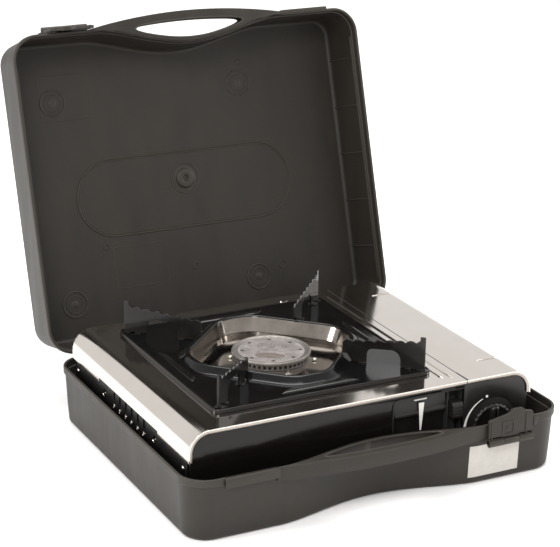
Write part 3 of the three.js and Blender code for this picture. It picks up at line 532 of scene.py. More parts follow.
# Uncoated paper of the blank label.
LABEL_PAPER = Finish("matt_label_paper", "#b9b5af", "#b0aca5", 0.85, patch_mm=7, grain_mm=0.25,
                     grain_depth_mm=0.01)
# Ink of the printed marks.
WHITE_INK = Finish("pad_printed_white_ink", "#e8e5e0", "#d9d6d0", 0.5, patch_mm=6)

NODE_FINISHES: dict[str, Finish] = {
    "pin_steel": DRAWN_STEEL,
    "polished_steel": BRIGHT_STAINLESS,
    "case_plastic": CASE_POLYETHYLENE,
    "paper": LABEL_PAPER,
    "black_steel": POWDER_COAT,
    "panel_plastic": GLOSS_ABS,
    "control_plastic": SATIN_ABS,
    "rubber": MOULDED_RUBBER,
    "cast_metal": CAST_ALUMINIUM,
    "zinc_steel": ZINC_PLATE,
    "brass": TURNED_BRASS,
    "wire_cover": SILICONE_SLEEVE,
    "ceramic": GLAZED_CERAMIC,
    "burner_metal": PRESSED_ALUMINIUM,
    "enamel": VITREOUS_ENAMEL,
}


def dress_nodes(frame: dict) -> None:
    """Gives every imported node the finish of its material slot."""
    slots = {s["node"]: s["material_slot"] for s in frame["record"]["subparts"]}
    for name, node in frame["nodes"].items():
        node.data.materials.clear()
        node.data.materials.append(NODE_FINISHES[slots[name]].build())
        smooth_shade(node)


# ------------------------------------------------------------------ stage


@dataclass
class Studio:
    """The camera, the pale floor and the soft lights."""

    camera_place: Point = (-783.2, -1466.5, 746.9)
    yaw: float = -27.29
    pitch: float = 19.19
    roll: float = 0.76
    lens: float = 122.26

    def build(self) -> None:
        """Makes the camera, the floor, the world and the lamps."""
        self.camera()
        self.floor()
        self.world()
        self.lamp("key", (-1500, -1700, 2100), 900, 50)
        self.lamp("top", (300, 500, 2400), 1500, 45)
        self.lamp("right", (2100, -400, 900), 900, 22)
        self.lamp("left", (-2300, 300, 900), 700, 28)
        bpy.context.scene.view_settings.view_transform = "Standard"

    def camera(self) -> None:
        """The camera, looking at the stove from the front left and above."""
        data = bpy.data.cameras.new("camera")
        data.sensor_width = 36.0
        data.lens = self.lens
        data.clip_end = 50.0
        made = bpy.data.objects.new("camera", data)
        yaw, pitch, roll = (math.radians(a) for a in (self.yaw, self.pitch, self.roll))
        back = Vector((math.sin(yaw) * math.cos(pitch), -math.cos(yaw) * math.cos(pitch), math.sin(pitch)))
        right = (-back).cross(Vector((0, 0, 1))).normalized()
        up = right.cross(-back)
        turned_right = right * math.cos(roll) + up * math.sin(roll)
        turned_up = up * math.cos(roll) - right * math.sin(roll)
        axes = Matrix((turned_right, turned_up, back)).transposed()
        made.matrix_world = Matrix.Translation(Vector(self.camera_place) * MM) @ axes.to_4x4()
        bpy.context.scene.collection.objects.link(made)
        bpy.context.scene.camera = made

    def floor(self) -> None:
        """A pale sweep of floor."""
        size = 6000.0
        sheet = Shape().add(level(rectangle(-size, size, -size, size), 0), [(0, 1, 2, 3)])
        made = sheet.object("floor", Finish("white_floor", "#f4f3f2", "#f6f5f4", 0.7, patch_mm=500).build())

    def world(self) -> None:
        """An even white surround."""
        world = bpy.data.worlds.new("surround")
        world.use_nodes = True
        shade = world.node_tree.nodes["Background"]
        shade.inputs["Color"].default_value = (1.0, 0.99, 0.98, 1.0)
        shade.inputs["Strength"].default_value = 0.95
        bpy.context.scene.world = world

    def lamp(self, name: str, place: Point, size: float, power: float) -> None:
        """One soft square lamp aimed at the stove."""
        data = bpy.data.lights.new(name, "AREA")
        data.size = size * MM
        data.energy = power
        made = bpy.data.objects.new(name, data)
        made.location = Vector(place) * MM
        aim = Vector((0, 0, 0.08)) - made.location
        made.rotation_euler = aim.to_track_quat("-Z", "Y").to_euler()
        bpy.context.scene.collection.objects.link(made)


# ------------------------------------------------------------------ shared makers


def refined(frame: dict, node: str, finish: Finish, body: Body, bevel: float = 0.4,
            sharp: float = 30.0, replaced: Sequence[str] = ()) -> bpy.types.Object:
    """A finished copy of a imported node: merged, its edges rounded, its flats kept flat.

    Args:
        frame: The loaded frame.
        node: The node's name.
        finish: The new finish.
        body: The body that the piece rides on.
        bevel: Rounding of its edges in millimetres.
        sharp: Edges steeper than this many degrees are rounded.
        replaced: Other nodes that it stands for.

    Returns:
        The piece, named after the node.
    """
    mesh = frame["nodes"][node].data.copy()
    mesh.name = f"{node}_finished"
    work = bmesh.new()
    work.from_mesh(mesh)
    bmesh.ops.remove_doubles(work, verts=work.verts, dist=5e-6)
    bmesh.ops.dissolve_limit(work, angle_limit=math.radians(1.0), verts=work.verts, edges=work.edges)
    bmesh.ops.recalc_face_normals(work, faces=work.faces)
    work.to_mesh(mesh)
    work.free()
    mesh.materials.clear()
    mesh.materials.append(finish.build())
    made = bpy.data.objects.new(f"{node}_finished", mesh)
    bpy.context.scene.collection.objects.link(made)
    if bevel:
        round_edges(made, bevel, sharp)
    smooth_shade(made, sharp + 8)
    weigh_normals(made)
    return settle(made, body, (node, *replaced))


@dataclass(frozen=True)
class Repeat:
    """Blocks repeated round a circle or along a line by Geometry Nodes.

    Sizes are millimetres. A ring's blocks face outwards; a row's blocks stand along its step.
    """

    count: int
    start: Point
    step: Point = (0.0, 0.0, 0.0)
    ring: float = 0.0
    size: Point = (1.0, 1.0, 1.0)
    round_block: bool = False

    def tree(self) -> bpy.types.NodeTree:
        """The node tree, with its sizes as named inputs."""
        made = bpy.data.node_groups.new("repeat", "GeometryNodeTree")
        face = made.interface
        face.new_socket("Count", in_out="INPUT", socket_type="NodeSocketInt")
        for name in ("Start", "Step", "Size"):
            face.new_socket(name, in_out="INPUT", socket_type="NodeSocketVector")
        face.new_socket("Ring", in_out="INPUT", socket_type="NodeSocketFloat")
        face.new_socket("Finish", in_out="INPUT", socket_type="NodeSocketMaterial")
        face.new_socket("Geometry", in_out="OUTPUT", socket_type="NodeSocketGeometry")
        given = made.nodes.new("NodeGroupInput").outputs
        if self.ring:
            spread = add_node(made, "GeometryNodeMeshCircle", None, Vertices=given["Count"],
                              Radius=given["Ring"])
            points = add_node(made, "GeometryNodeTransform", None, Geometry=spread.outputs["Mesh"],
                              Translation=given["Start"]).outputs["Geometry"]
            outward = add_node(made, "GeometryNodeInputPosition").outputs["Position"]
            radial = add_node(made, "ShaderNodeVectorMath", {"operation": "SUBTRACT"}, i0=outward,
                              i1=given["Start"]).outputs["Vector"]
            turn = add_node(made, "FunctionNodeAlignRotationToVector", {"axis": "X", "pivot_axis": "Z"},
                            Vector=radial).outputs["Rotation"]
        else:
            points = add_node(made, "GeometryNodeMeshLine", None, Count=given["Count"],
                              Start_Location=given["Start"], Offset=given["Step"]).outputs["Mesh"]
            turn = None
        if self.round_block:
            unit = add_node(made, "GeometryNodeMeshUVSphere", None, Segments=12, Rings=8, Radius=0.5)
        else:
            unit = add_node(made, "GeometryNodeMeshCube")
        block = unit.outputs["Mesh"]
        placed = add_node(made, "GeometryNodeInstanceOnPoints", None, Points=points, Instance=block,
                          Scale=given["Size"])
        if turn is not None:
            made.links.new(turn, placed.inputs["Rotation"])
        real = add_node(made, "GeometryNodeRealizeInstances", None, Geometry=placed.outputs["Instances"])
        faced = add_node(made, "GeometryNodeSetMaterial", None, Geometry=real.outputs["Geometry"],
                         Material=given["Finish"])
        out = made.nodes.new("NodeGroupOutput")
        made.links.new(faced.outputs["Geometry"], out.inputs["Geometry"])
        return made

    def object(self, name: str, finish: Finish, bevel: float = 0.0) -> bpy.types.Object:
        """Makes the repeated blocks a plain mesh.

        Args:
            name: The piece's name.
            finish: Its finish.
            bevel: Rounding of the blocks' edges in millimetres.

        Returns:
            The object, at the origin.
        """
        mesh = bpy.data.meshes.new(name)
        made = bpy.data.objects.new(name, mesh)
        bpy.context.scene.collection.objects.link(made)
        modifier = made.modifiers.new("repeat", "NODES")
        modifier.node_group = self.tree()
        values = {
            "Count": self.count,
            "Start": [c * MM for c in self.start],
            "Step": [c * MM for c in self.step],
            "Size": [c * MM for c in self.size],
            "Ring": self.ring * MM,
            "Finish": finish.build(),
        }
        for item in modifier.node_group.interface.items_tree:
            if item.in_out == "INPUT":
                modifier[item.identifier] = values[item.name]
        apply_modifiers(made)
        if bevel:
            round_edges(made, bevel, 30.0)
        smooth_shade(made, 40)
        return made


# ------------------------------------------------------------------ case


# The panel line of both halves: middle in X and Y, half straight, end radius.
PANEL_LINE = (2.0, 11.0, 81.0, 39.5)
# The latches' pin in the lower half's place, in Y and Z.
LATCH_PIN = (-161.0, 41.2)


@dataclass
class CaseHalf:
    """One half of the blow-moulded case: shell, grip, hinge knuckles, catch and lugs.

    Its shape is made in the lower half's place and put where the half stands.
    """

    name: str
    lid: bool
    half_x: float = 185.5
    half_y: float = 152.5
    height: float = 59.0
    seam: float = 59.15
    wall: float = 2.5
    floor: float = 3.0
    draft: float = 3.0
    corner: float = 22.0
    edge: float = 5.0
    band: float = 1.2
    band_height: float = 8.0
    dent_depth: float = 18.0
    dent_half: float = 98.0
    grip_half: float = 107.0
    grip_bulge: float = 11.0
    grip_height: float = 13.0
    grip_bar: float = 8.5
    hole_half: float = 60.0
    hole_ledge: float = 2.0
    front: float = 156.7
    hinge_y: float = 160.4
    hinge_z: float = 54.95
    open_degrees: float = 107.0

    def put(self, p: Point) -> Point:
        """Moves a point of the lower half's place to where this half stands."""
        if not self.lid:
            return p
        turn = math.radians(self.open_degrees)
        dy, dz = p[1] - self.hinge_y, 2 * self.seam - p[2] - self.hinge_z
        c, s = math.cos(turn), math.sin(turn)
        return (-p[0], self.hinge_y + c * dy + s * dz, self.hinge_z - s * dy + c * dz)

    def moved(self, shape: Shape) -> Shape:
        """Puts a whole shape where this half stands."""
        shape.points = [self.put(p) for p in shape.points]
        return shape

    def dent(self, x: float) -> float:
        """How far the hand recess pushes the front wall back at x."""
        if abs(x) >= self.dent_half:
            return 0.0
        return self.dent_depth * (0.5 + 0.5 * math.cos(math.pi * x / self.dent_half)) ** 0.75

    def bulge(self, x: float) -> float:
        """How far the grip stands in front of the rim band at x."""
        return self.grip_bulge * max(0.0, math.cos(math.pi * x / (2 * self.grip_half))) ** 0.8

    def ring(self, grow: float, z: float) -> list[Point]:
        """The half's outline at a height, grown outwards."""
        hx, hy, r = self.half_x + grow, self.half_y + grow, self.corner + grow
        steps = 72
        front = [self.dent_half * (2 * i / steps - 1) for i in range(steps + 1)]
        outline = [(x, -hy + self.dent(x)) for x in front]
        corners = ((hx - r, -hy + r), (hx - r, hy - r), (r - hx, hy - r), (r - hx, r - hy))
        for (cx, cy), start in zip(corners, (-90, 0, 90, 180)):
            outline += arc(cx, cy, r, start, start + 90, 12)
        return level(outline, z)

    def lean(self, z: float) -> float:
        """How far the wall has leaned out at a height."""
        return self.draft * z / self.height

    def shell(self) -> Shape:
        """The shell: floor edge, drafted wall, rim band and the rebate inside the rim."""
        band_z = self.height - self.band_height
        rim = self.lean(self.height) + self.band
        inside = self.lean(self.height) - self.wall
        rings = [(-self.edge - 1.5, 0.0)]
        for i in range(6):
            turn = math.radians(18 * i)
            rings.append((-self.edge * (1 - math.sin(turn)), self.edge * (1 - math.cos(turn))))
        rings += [
            (self.lean(20), 20), (self.lean(36), 36), (self.lean(band_z - 0.6), band_z - 0.6),
            (self.lean(band_z) + 0.25, band_z + 0.1), (rim - 0.35, band_z + 1.0), (rim, band_z + 1.6),
            (rim, self.height - 0.9), (rim - 0.25, self.height - 0.25), (rim - 0.9, self.height),
            (inside + 1.5, self.height), (inside + 1.15, self.height - 0.3),
            (inside + 1.0, self.height - 0.9), (inside + 0.9, band_z + 1.4),
            (inside + 0.7, band_z + 0.9), (inside - 0.2, band_z + 0.5),
            (self.lean(36) - self.wall, 36), (self.lean(20) - self.wall, 20),
            (-self.wall + 0.3, self.floor + 4.5), (-self.wall - 0.1, self.floor + 2.6),
            (-self.wall - 1.0, self.floor + 1.1),
            (-self.wall - 2.4, self.floor + 0.25), (-self.wall - 4.0, self.floor),
        ]
        return self.moved(Shape().loft([self.ring(grow, z) for grow, z in rings]))

    def grip_outlines(self) -> tuple[list[Flat], list[Flat]]:
        """The grip's outline and its hand hole's, with equal counts."""
        steps = 48
        spread = [2 * i / steps - 1 for i in range(steps + 1)]
        along = [t * self.grip_half for t in spread]
        outer = [(x, -self.front - self.bulge(x)) for x in along]
        outer += [(x, -self.front + self.dent(x) + 2.2) for x in reversed(along)]
        across = [t * self.hole_half for t in spread]
        inner = []
        for near in (True, False):
            for x in across if near else reversed(across):
                low = -self.front - self.bulge(x) + self.grip_bar
                high = -self.front + self.dent(x) - self.hole_ledge
                middle, half = (low + high) / 2, max(0.4, (high - low) / 2)
                half *= min(1.0, math.sqrt(max(0.0, 1 - (abs(x) / self.hole_half) ** 14)) + 0.02)
                inner.append((x, middle - half if near else middle + half))
        return outer, inner

    def build(self, finish: Finish) -> None:
        """Makes the half's pieces."""
        body = Body.LID if self.lid else Body.CASE
        node = "case_lid" if self.lid else "case_bottom"
        shell = self.shell().object(f"{self.name}_shell", finish.build(), 50)
        panel = Shape().tube(level(stadium(*PANEL_LINE), 0.0), 0.8, True, 8)
        carve(shell, self.moved(panel))
        smooth_shade(shell, 50)
        weigh_normals(shell)
        settle(shell, body, (node,))
        outer, inner = self.grip_outlines()
        grip = self.moved(Shape().frame(outer, inner, self.height - self.grip_height, self.height, Axis.Z))
        settle(grip.object(f"{self.name}_grip", finish.build(), 50, 1.4, 3), body)
        rolls = Shape()
        for z in (self.height - 0.5, self.height - self.grip_height + 0.5):
            rolls.tube(level(inner, z), 1.0, True)
        settle(self.moved(rolls).object(f"{self.name}_grip_roll", finish.build(), 60), body)
        self.fittings(finish, body)

    def fittings(self, finish: Finish, body: Body) -> None:
        """The catch block, the small stop on the grip, the latch lug and the hinge knuckles."""
        top, face = self.height, -self.front
        left, right = -157, -105
        block = Shape()
        block.prism(fillet(rectangle(left, right, top - 9, top), 1.5), face - 2.6, face + 2.2, Axis.Y)
        notch = [(left, top - 1), (-141, top - 1), (-139, top - 4), (-121, top - 4), (-119, top - 1),
                 (right, top - 1), (right, top - 6), (left, top - 6)]
        block.prism(fillet(notch, 0.8), face - 2.4, face + 0.5, Axis.Y)
        block.prism(fillet(rectangle(153.4, 158.4, 49.6, 57.6), 1.0), face - 1.6, face + 2.2, Axis.Y)
        made = self.moved(block).object(f"{self.name}_catch", finish.build(), 35, 0.6)
        settle(made, body)
        left, right = 119.5, 135.5
        lug = Shape().prism(fillet(rectangle(left, right, 38.7, 43.7), 0.8), face - 4.2, face + 3, Axis.Y)
        lug.prism(circle(*LATCH_PIN, 3.1, 24), left, right, Axis.X)
        made = self.moved(lug).object(f"{self.name}_latch_lug", finish.build(), 35, 0.3)
        settle(made, body)
        hinge_z = 2 * self.seam - self.hinge_z if self.lid else self.hinge_z
        knuckles = Shape()
        length, barrel, bore = 21.7, 3.4, 1.75
        high = min(hinge_z, self.height)
        for end in (129.85, -130.15):
            web = [(153.8, high - 10), (163.2, hinge_z - 1), (163.2, hinge_z), (157.2, hinge_z),
                   (157.2, high), (153.8, high)]
            knuckles.prism(web, end - length, end, Axis.X)
            outer, inner = (circle(self.hinge_y, hinge_z, radius, 24) for radius in (barrel, bore))
            knuckles.frame(outer, inner, end - length, end, Axis.X)
        settle(self.moved(knuckles).object(f"{self.name}_knuckles", finish.build(), 35), body)


@dataclass
class Lid(CaseHalf):
    """The lid: the same moulding with the ejector rings, ribs and panel line seen inside it."""

    rings: tuple[Flat, ...] = ((136.0, -90.7), (-71.0, -91.7), (139.0, 113.3), (-68.0, 113.3))
    ring_radius: float = 13.0
    pins: tuple[Point, ...] = ((-74.0, -112.7, 3.2), (2.0, 92.0, 3.0), (-97.0, 104.0, 4.0), (98.0, 60.0, 3.0))
    boxes: tuple[tuple[float, ...], ...] = ((96, 150, -118, -72), (34, 92, 62, 104))
    inner_line: float = 37.2
    boss: Flat = (2.5, 0.3)

    def inside(self, finish: Finish) -> None:
        """The marks on the lid's inner floor and the ribs on its walls."""
        lift = self.floor + 0.05
        marks = Shape()
        dimple = [(0, 0.25), (3.2, 0.25), (3.8, 0.0), (3.8, -0.6), (0, -0.6)]

        def line(outline: Sequence[Flat], z: float, thickness: float) -> None:
            marks.tube(level(outline, z), thickness, True, 8)

        for cx, cy in self.rings:
            line(circle(cx, cy, self.ring_radius, 48), lift, 0.75)
            line(circle(cx, cy, self.ring_radius - 4.2, 48), lift, 0.4)
            marks.lathe(dimple, (cx, cy, lift), steps=32)
        for pin in self.pins:
            line(circle(*pin, 24), lift, 0.5)
        line(stadium(*PANEL_LINE), lift, 0.8)
        line(stadium(*PANEL_LINE[:3], self.inner_line), lift, 0.45)
        for sides in self.boxes:
            line(fillet(rectangle(*sides), 3), lift - 0.15, 0.4)
        settle(self.moved(marks).object("lid_floor_marks", finish.build(), 60), Body.LID)
        cx, cy = self.boss
        profile = [(0, 1.2), (3.0, 1.2), (3.4, 1.6), (3.4, 2.6), (4.2, 3.0), (8.6, 3.0), (9.6, 2.2),
                   (9.9, 0.6), (10.6, 0.2), (12.5, 0.0), (12.5, -0.8), (0, -0.8)]
        boss = Shape().lathe(profile, (cx, cy, lift), steps=48)
        boss.tube(level(circle(cx, cy, 15.5, 48), lift), 0.5, True, 8)
        settle(self.moved(boss).object("lid_centre_boss", finish.build(), 40), Body.LID)
        ribs = Shape()
        wall = self.half_x - self.wall
        for side in (-1, 1):
            for y in (-104.0, -54.0, -4.0, 46.0, 96.0):
                outline = [(side * (wall - 1.2), self.floor), (side * (wall + 0.6), self.floor),
                           (side * (wall + 3.0), 50.0), (side * (wall + 1.4), 50.0)]
                ribs.prism(outline, y - 0.7, y + 0.7, Axis.Y)
            # The ledge that runs along the wall below the rim.
            outline = [(side * (wall + 0.9), 49.2), (side * (wall + 3.0), 49.2), (side * (wall + 3.0), 51.2),
                       (side * (wall + 0.9), 51.2)]
            ribs.prism(outline, -126, 132, Axis.Y)
        settle(self.moved(ribs).object("lid_wall_ribs", finish.build(), 30, 0.25), Body.LID)


@dataclass
class Latch:
    """A snap latch: a peaked flap on split barrels, with an embossed square and a hooked top."""

    name: str
    node: str
    host: CaseHalf
    body: Body
    x0: float = 104.0
    x1: float = 151.0
    inner: float = -157.9
    pin: Flat = LATCH_PIN
    hook_low: float = 68.75

    def build(self, finish: Finish) -> None:
        """Makes the flap with its barrels and hook, and the embossing on its face."""
        face = self.inner - 2.9
        flap = Shape()
        corners = [(self.x0, 45.2), (self.x1, 45.2), (self.x1, 65.6), (143.4, 67.2), (139.5, 70.6),
                   (131.5, 70.6), (125.0, 67.0), (self.x0, 63.0)]
        flap.prism(fillet(corners, 1.6), face, self.inner, Axis.Y)
        for low, high in ((self.x0, 119.1), (135.9, self.x1)):
            cheek = fillet(rectangle(low, high, 40.0, 46.5), 0.6)
            flap.prism(cheek, face, self.inner - 0.4, Axis.Y)
            flap.prism(circle(*self.pin, 3.2, 24), low, high, Axis.X)
        hook = [(127.5, self.hook_low), (141.0, self.hook_low), (138.5, 70.4), (130.0, 70.4)]
        flap.prism(fillet(hook, 0.5), self.inner - 0.6, self.inner + 0.9, Axis.Y)
        made = self.host.moved(flap).object(f"{self.name}_flap", finish.build(), 35, 0.7, 3)
        settle(made, self.body, (self.node,))
        self.embossing(finish, face)

    def embossing(self, finish: Finish, face: float) -> None:
        """The square ring, its arrow and the two finger ribs."""
        middle, height = 124.5, 54.0
        plate = Shape()

        def square(half: float, corner: float) -> list[Flat]:
            return fillet(rectangle(middle - half, middle + half, height - half, height + half), corner)

        plate.frame(square(6.5, 1.6), square(5.1, 1.2), face - 0.5, face + 0.3, Axis.Y)
        arrow = [(middle - 2.6, height - 1.8), (middle + 2.6, height - 1.8), (middle, height + 2.4)]
        plate.prism(fillet(arrow, 0.6), face - 0.4, face + 0.3, Axis.Y)
        for x, top in ((self.x0 + 2.2, 61.0), (143.2, 65.0)):
            plate.prism(fillet(rectangle(x, x + 1.4, 43, top), 0.6), face - 0.6, face + 0.3, Axis.Y)
        made = self.host.moved(plate).object(f"{self.name}_embossing", finish.build(), 35, 0.15)
        settle(made, self.body)


@dataclass
class Label:
    """The blank paper label that lies on the drafted front wall."""

    host: CaseHalf
    x0: float = 88.9
    x1: float = 141.6
    low: float = 7.4
    high: float = 38.6

    def build(self) -> None:
        """Makes the label, following the wall."""
        across, up = 24, 6
        sheets: list[list[Point]] = []
        for lift in (0.12, 0.34):
            sheet = []
            for j in range(up + 1):
                z = self.low + (self.high - self.low) * j / up
                for i in range(across + 1):
                    x = self.x0 + (self.x1 - self.x0) * i / across
                    sheet.append((x, -self.host.half_y - self.host.lean(z) + self.host.dent(x) - lift, z))
            sheets.append(sheet)
        count = (across + 1) * (up + 1)
        faces = []
        for j in range(up):
            for i in range(across):
                a = j * (across + 1) + i
                quad = (a, a + 1, a + across + 2, a + across + 1)
                faces.append(tuple(reversed(quad)))
                faces.append(tuple(count + v for v in quad))
        edge = [*range(across), *range(across, count - 1, across + 1),
                *range(count - 1, count - 1 - across, -1), *range(count - 1 - across, 0, -across - 1)]
        for a, b in zip(edge, [*edge[1:], edge[0]]):
            faces.append((a, b, count + b, count + a))
        made = Shape().add([*sheets[0], *sheets[1]], faces).object("blank_label", LABEL_PAPER.build(), 40)
        settle(made, Body.CASE, ("paper_label",))


# ------------------------------------------------------------------ body of the stove

CORNERS = ("front_left", "front_right", "back_left", "back_right")


@dataclass
class SteelBody:
    """The bright steel top with its hinged cover, the black tray under it and the small parts."""

    left: float = -180.0
    right: float = 165.0
    front: float = -134.0
    back: float = 135.0
    top: float = 94.8
    corner: float = 20.0
    split: float = 96.0
    side_low: float = 67.0

    def build(self, frame: dict) -> None:
        """Makes the body's pieces."""
        refined(frame, "steel_shell", BRIGHT_STAINLESS, Body.STOVE, 0.35)
        refined(frame, "canister_cover", BRIGHT_STAINLESS, Body.COVER, 0.3)
        refined(frame, "base_tray", POWDER_COAT, Body.STOVE, 0.25)
        refined(frame, "back_panel", POWDER_COAT, Body.STOVE, 0.4)
        refined(frame, "bay_partition", POWDER_COAT, Body.STOVE, 0.25)
        refined(frame, "canister_cradle", POWDER_COAT, Body.STOVE, 0.3)
        for corner in CORNERS:
            refined(frame, f"foot_{corner}", MOULDED_RUBBER, Body.STOVE, 0.8)
        self.ribs()
        self.hems()
        self.rivets()

    def ribs(self) -> None:
        """The ribs beside the split, the dimples at their back ends, the cover's ribs and its seal."""
        ribs = Shape()
        foot, shoulder, crown = self.top - 0.3, self.top + 0.9, self.top + 1.25
        taper, run_out = 0.2, 5
        for x, width, y0, y1 in ((78.6, 1.9, -120, 116), (86.8, 1.5, -122, 118), (70.0, 1.2, 40, 112)):
            section = [(x - width, foot), (x - width * 0.8, shoulder), (x - width * 0.3, crown),
                       (x + width * 0.3, crown), (x + width * 0.8, shoulder), (x + width, foot)]
            narrow = [(x + (u - x) * taper, foot + (v - self.top + 0.3) * taper) for u, v in section]
            ribs.loft([[(u, y, v) for u, v in outline] for outline, y in
                       ((narrow, y0), (section, y0 + run_out), (section, y1 - run_out), (narrow, y1))])
        for x, y in ((58.0, 118.0), (64.0, 104.0), (40.0, 121.0)):
            pad = [(px + x, py + y) for px, py in stadium(0, 0, 3.4, 1.3, 8)]
            crest = [(x + (px - x) * 0.75, y + (py - y) * 0.6) for px, py in pad]
            ribs.loft([level(pad, self.top - 0.2), level(crest, self.top + 0.8)])
        made = ribs.object("steel_top_ribs", BRIGHT_STAINLESS.build(), 50)
        settle(made, Body.STOVE)
        cover = Shape()
        z = self.top - 0.2
        section = [(128, z), (129.2, self.top + 0.6), (150, self.top + 0.6), (151, z)]
        for y in (-97.0, 98.0):
            cover.prism(section, y - 1.0, y + 1.0, Axis.Y)
        made = cover.object("cover_cross_ribs", BRIGHT_STAINLESS.build(), 50, 0.3)
        settle(made, Body.COVER)
        edge = self.split + 0.3
        seal = Shape().tube([(edge, self.back - 5, z), (edge, self.front + 0.4, z)], 0.4)
        seal.tube([(edge + 0.2, -114, z), (edge + 0.5, self.front + 0.4, z)], 0.7)
        settle(seal.object("cover_edge_seal", MOULDED_RUBBER.build(), 50), Body.COVER)

    def flange(self, x0: float, x1: float, low: float, y: float, outward: int, flip: bool) -> Shape:
        """The narrow flange turned in at the front or back edge, over the top and down one side.

        Args:
            x0: Left end of the straight.
            x1: Right end of the straight.
            low: Where it ends on the side.
            y: The edge's place.
            outward: -1 at the front edge and 1 at the back edge.
            flip: True for the left side, False for the right side.

        Returns:
            The flange.
        """
        cx, cz = (x0 + self.corner if flip else x1 - self.corner), self.top - self.corner
        start = x1 if flip else x0
        stations = [((start, self.top), (0.0, -1.0))]
        for u, v in arc(0, 0, 1, 90, 180 if flip else 0, 16):
            stations.append(((cx + u * self.corner, cz + v * self.corner), (-u, -v)))
        side = x0 if flip else x1
        stations.append(((side, low), (1.0 if flip else -1.0, 0.0)))
        section = [(0.05, 1.2), (0.05, 0.5), (0.5, 0.05), (3.6, 0.05), (4.0, 0.4), (3.8, 1.2)]
        rings = []
        for (px, pz), (nx, nz) in stations:
            rings.append([(px + nx * d, y - outward * back, pz + nz * d) for d, back in section])
        return Shape().loft(rings)

    def hems(self) -> None:
        """The turned-in flanges at the front and back edges of the top and of the cover."""
        for name, body, x0, x1, low, flip in (
            ("top_hem", Body.STOVE, self.left, self.split - 0.4, self.side_low + 0.6, True),
            ("cover_hem", Body.COVER, self.split + 0.4, self.right, 71.9, False),
        ):
            hem = Shape()
            for y, outward in ((self.front, -1), (self.back, 1)):
                made = self.flange(x0, x1, low, y, outward, flip)
                hem.add(made.points, made.faces)
            piece = hem.object(name, HEM_STEEL.build(), 60)
            settle(piece, body)

    def rivets(self) -> None:
        """The two dome rivets of the left side and the rolled edges of its vents."""
        row = Repeat(2, (-179.4, -121.0, 58.0), (0.0, 243.0, 0.0), size=(2.6, 4.8, 4.8), round_block=True)
        made = row.object("side_rivet_domes", DRAWN_STEEL)
        settle(made, Body.STOVE, ("side_rivet_front", "side_rivet_back"))
        middle = (self.front + self.back) / 2
        eyelets = Shape()
        face = self.left + 1.45
        vents, spacing, height = 6, 13.8, 54.5
        for step in range(vents):
            y = middle + spacing * (step - (vents - 1) / 2)
            eyelets.tube([(face, py, pz) for py, pz in circle(y, height, 1.7, 16)], 0.55, True, 8)
        for y in (middle - 58.0, middle + 58.0):
            eyelets.tube([(face, py, pz) for py, pz in arc(y, 59.0, 3.1, 150, 330, 14)], 0.6, False, 8)
        settle(eyelets.object("vent_eyelets", BRIGHT_STAINLESS.build(), 60), Body.STOVE)


# ------------------------------------------------------------------ front panel and controls


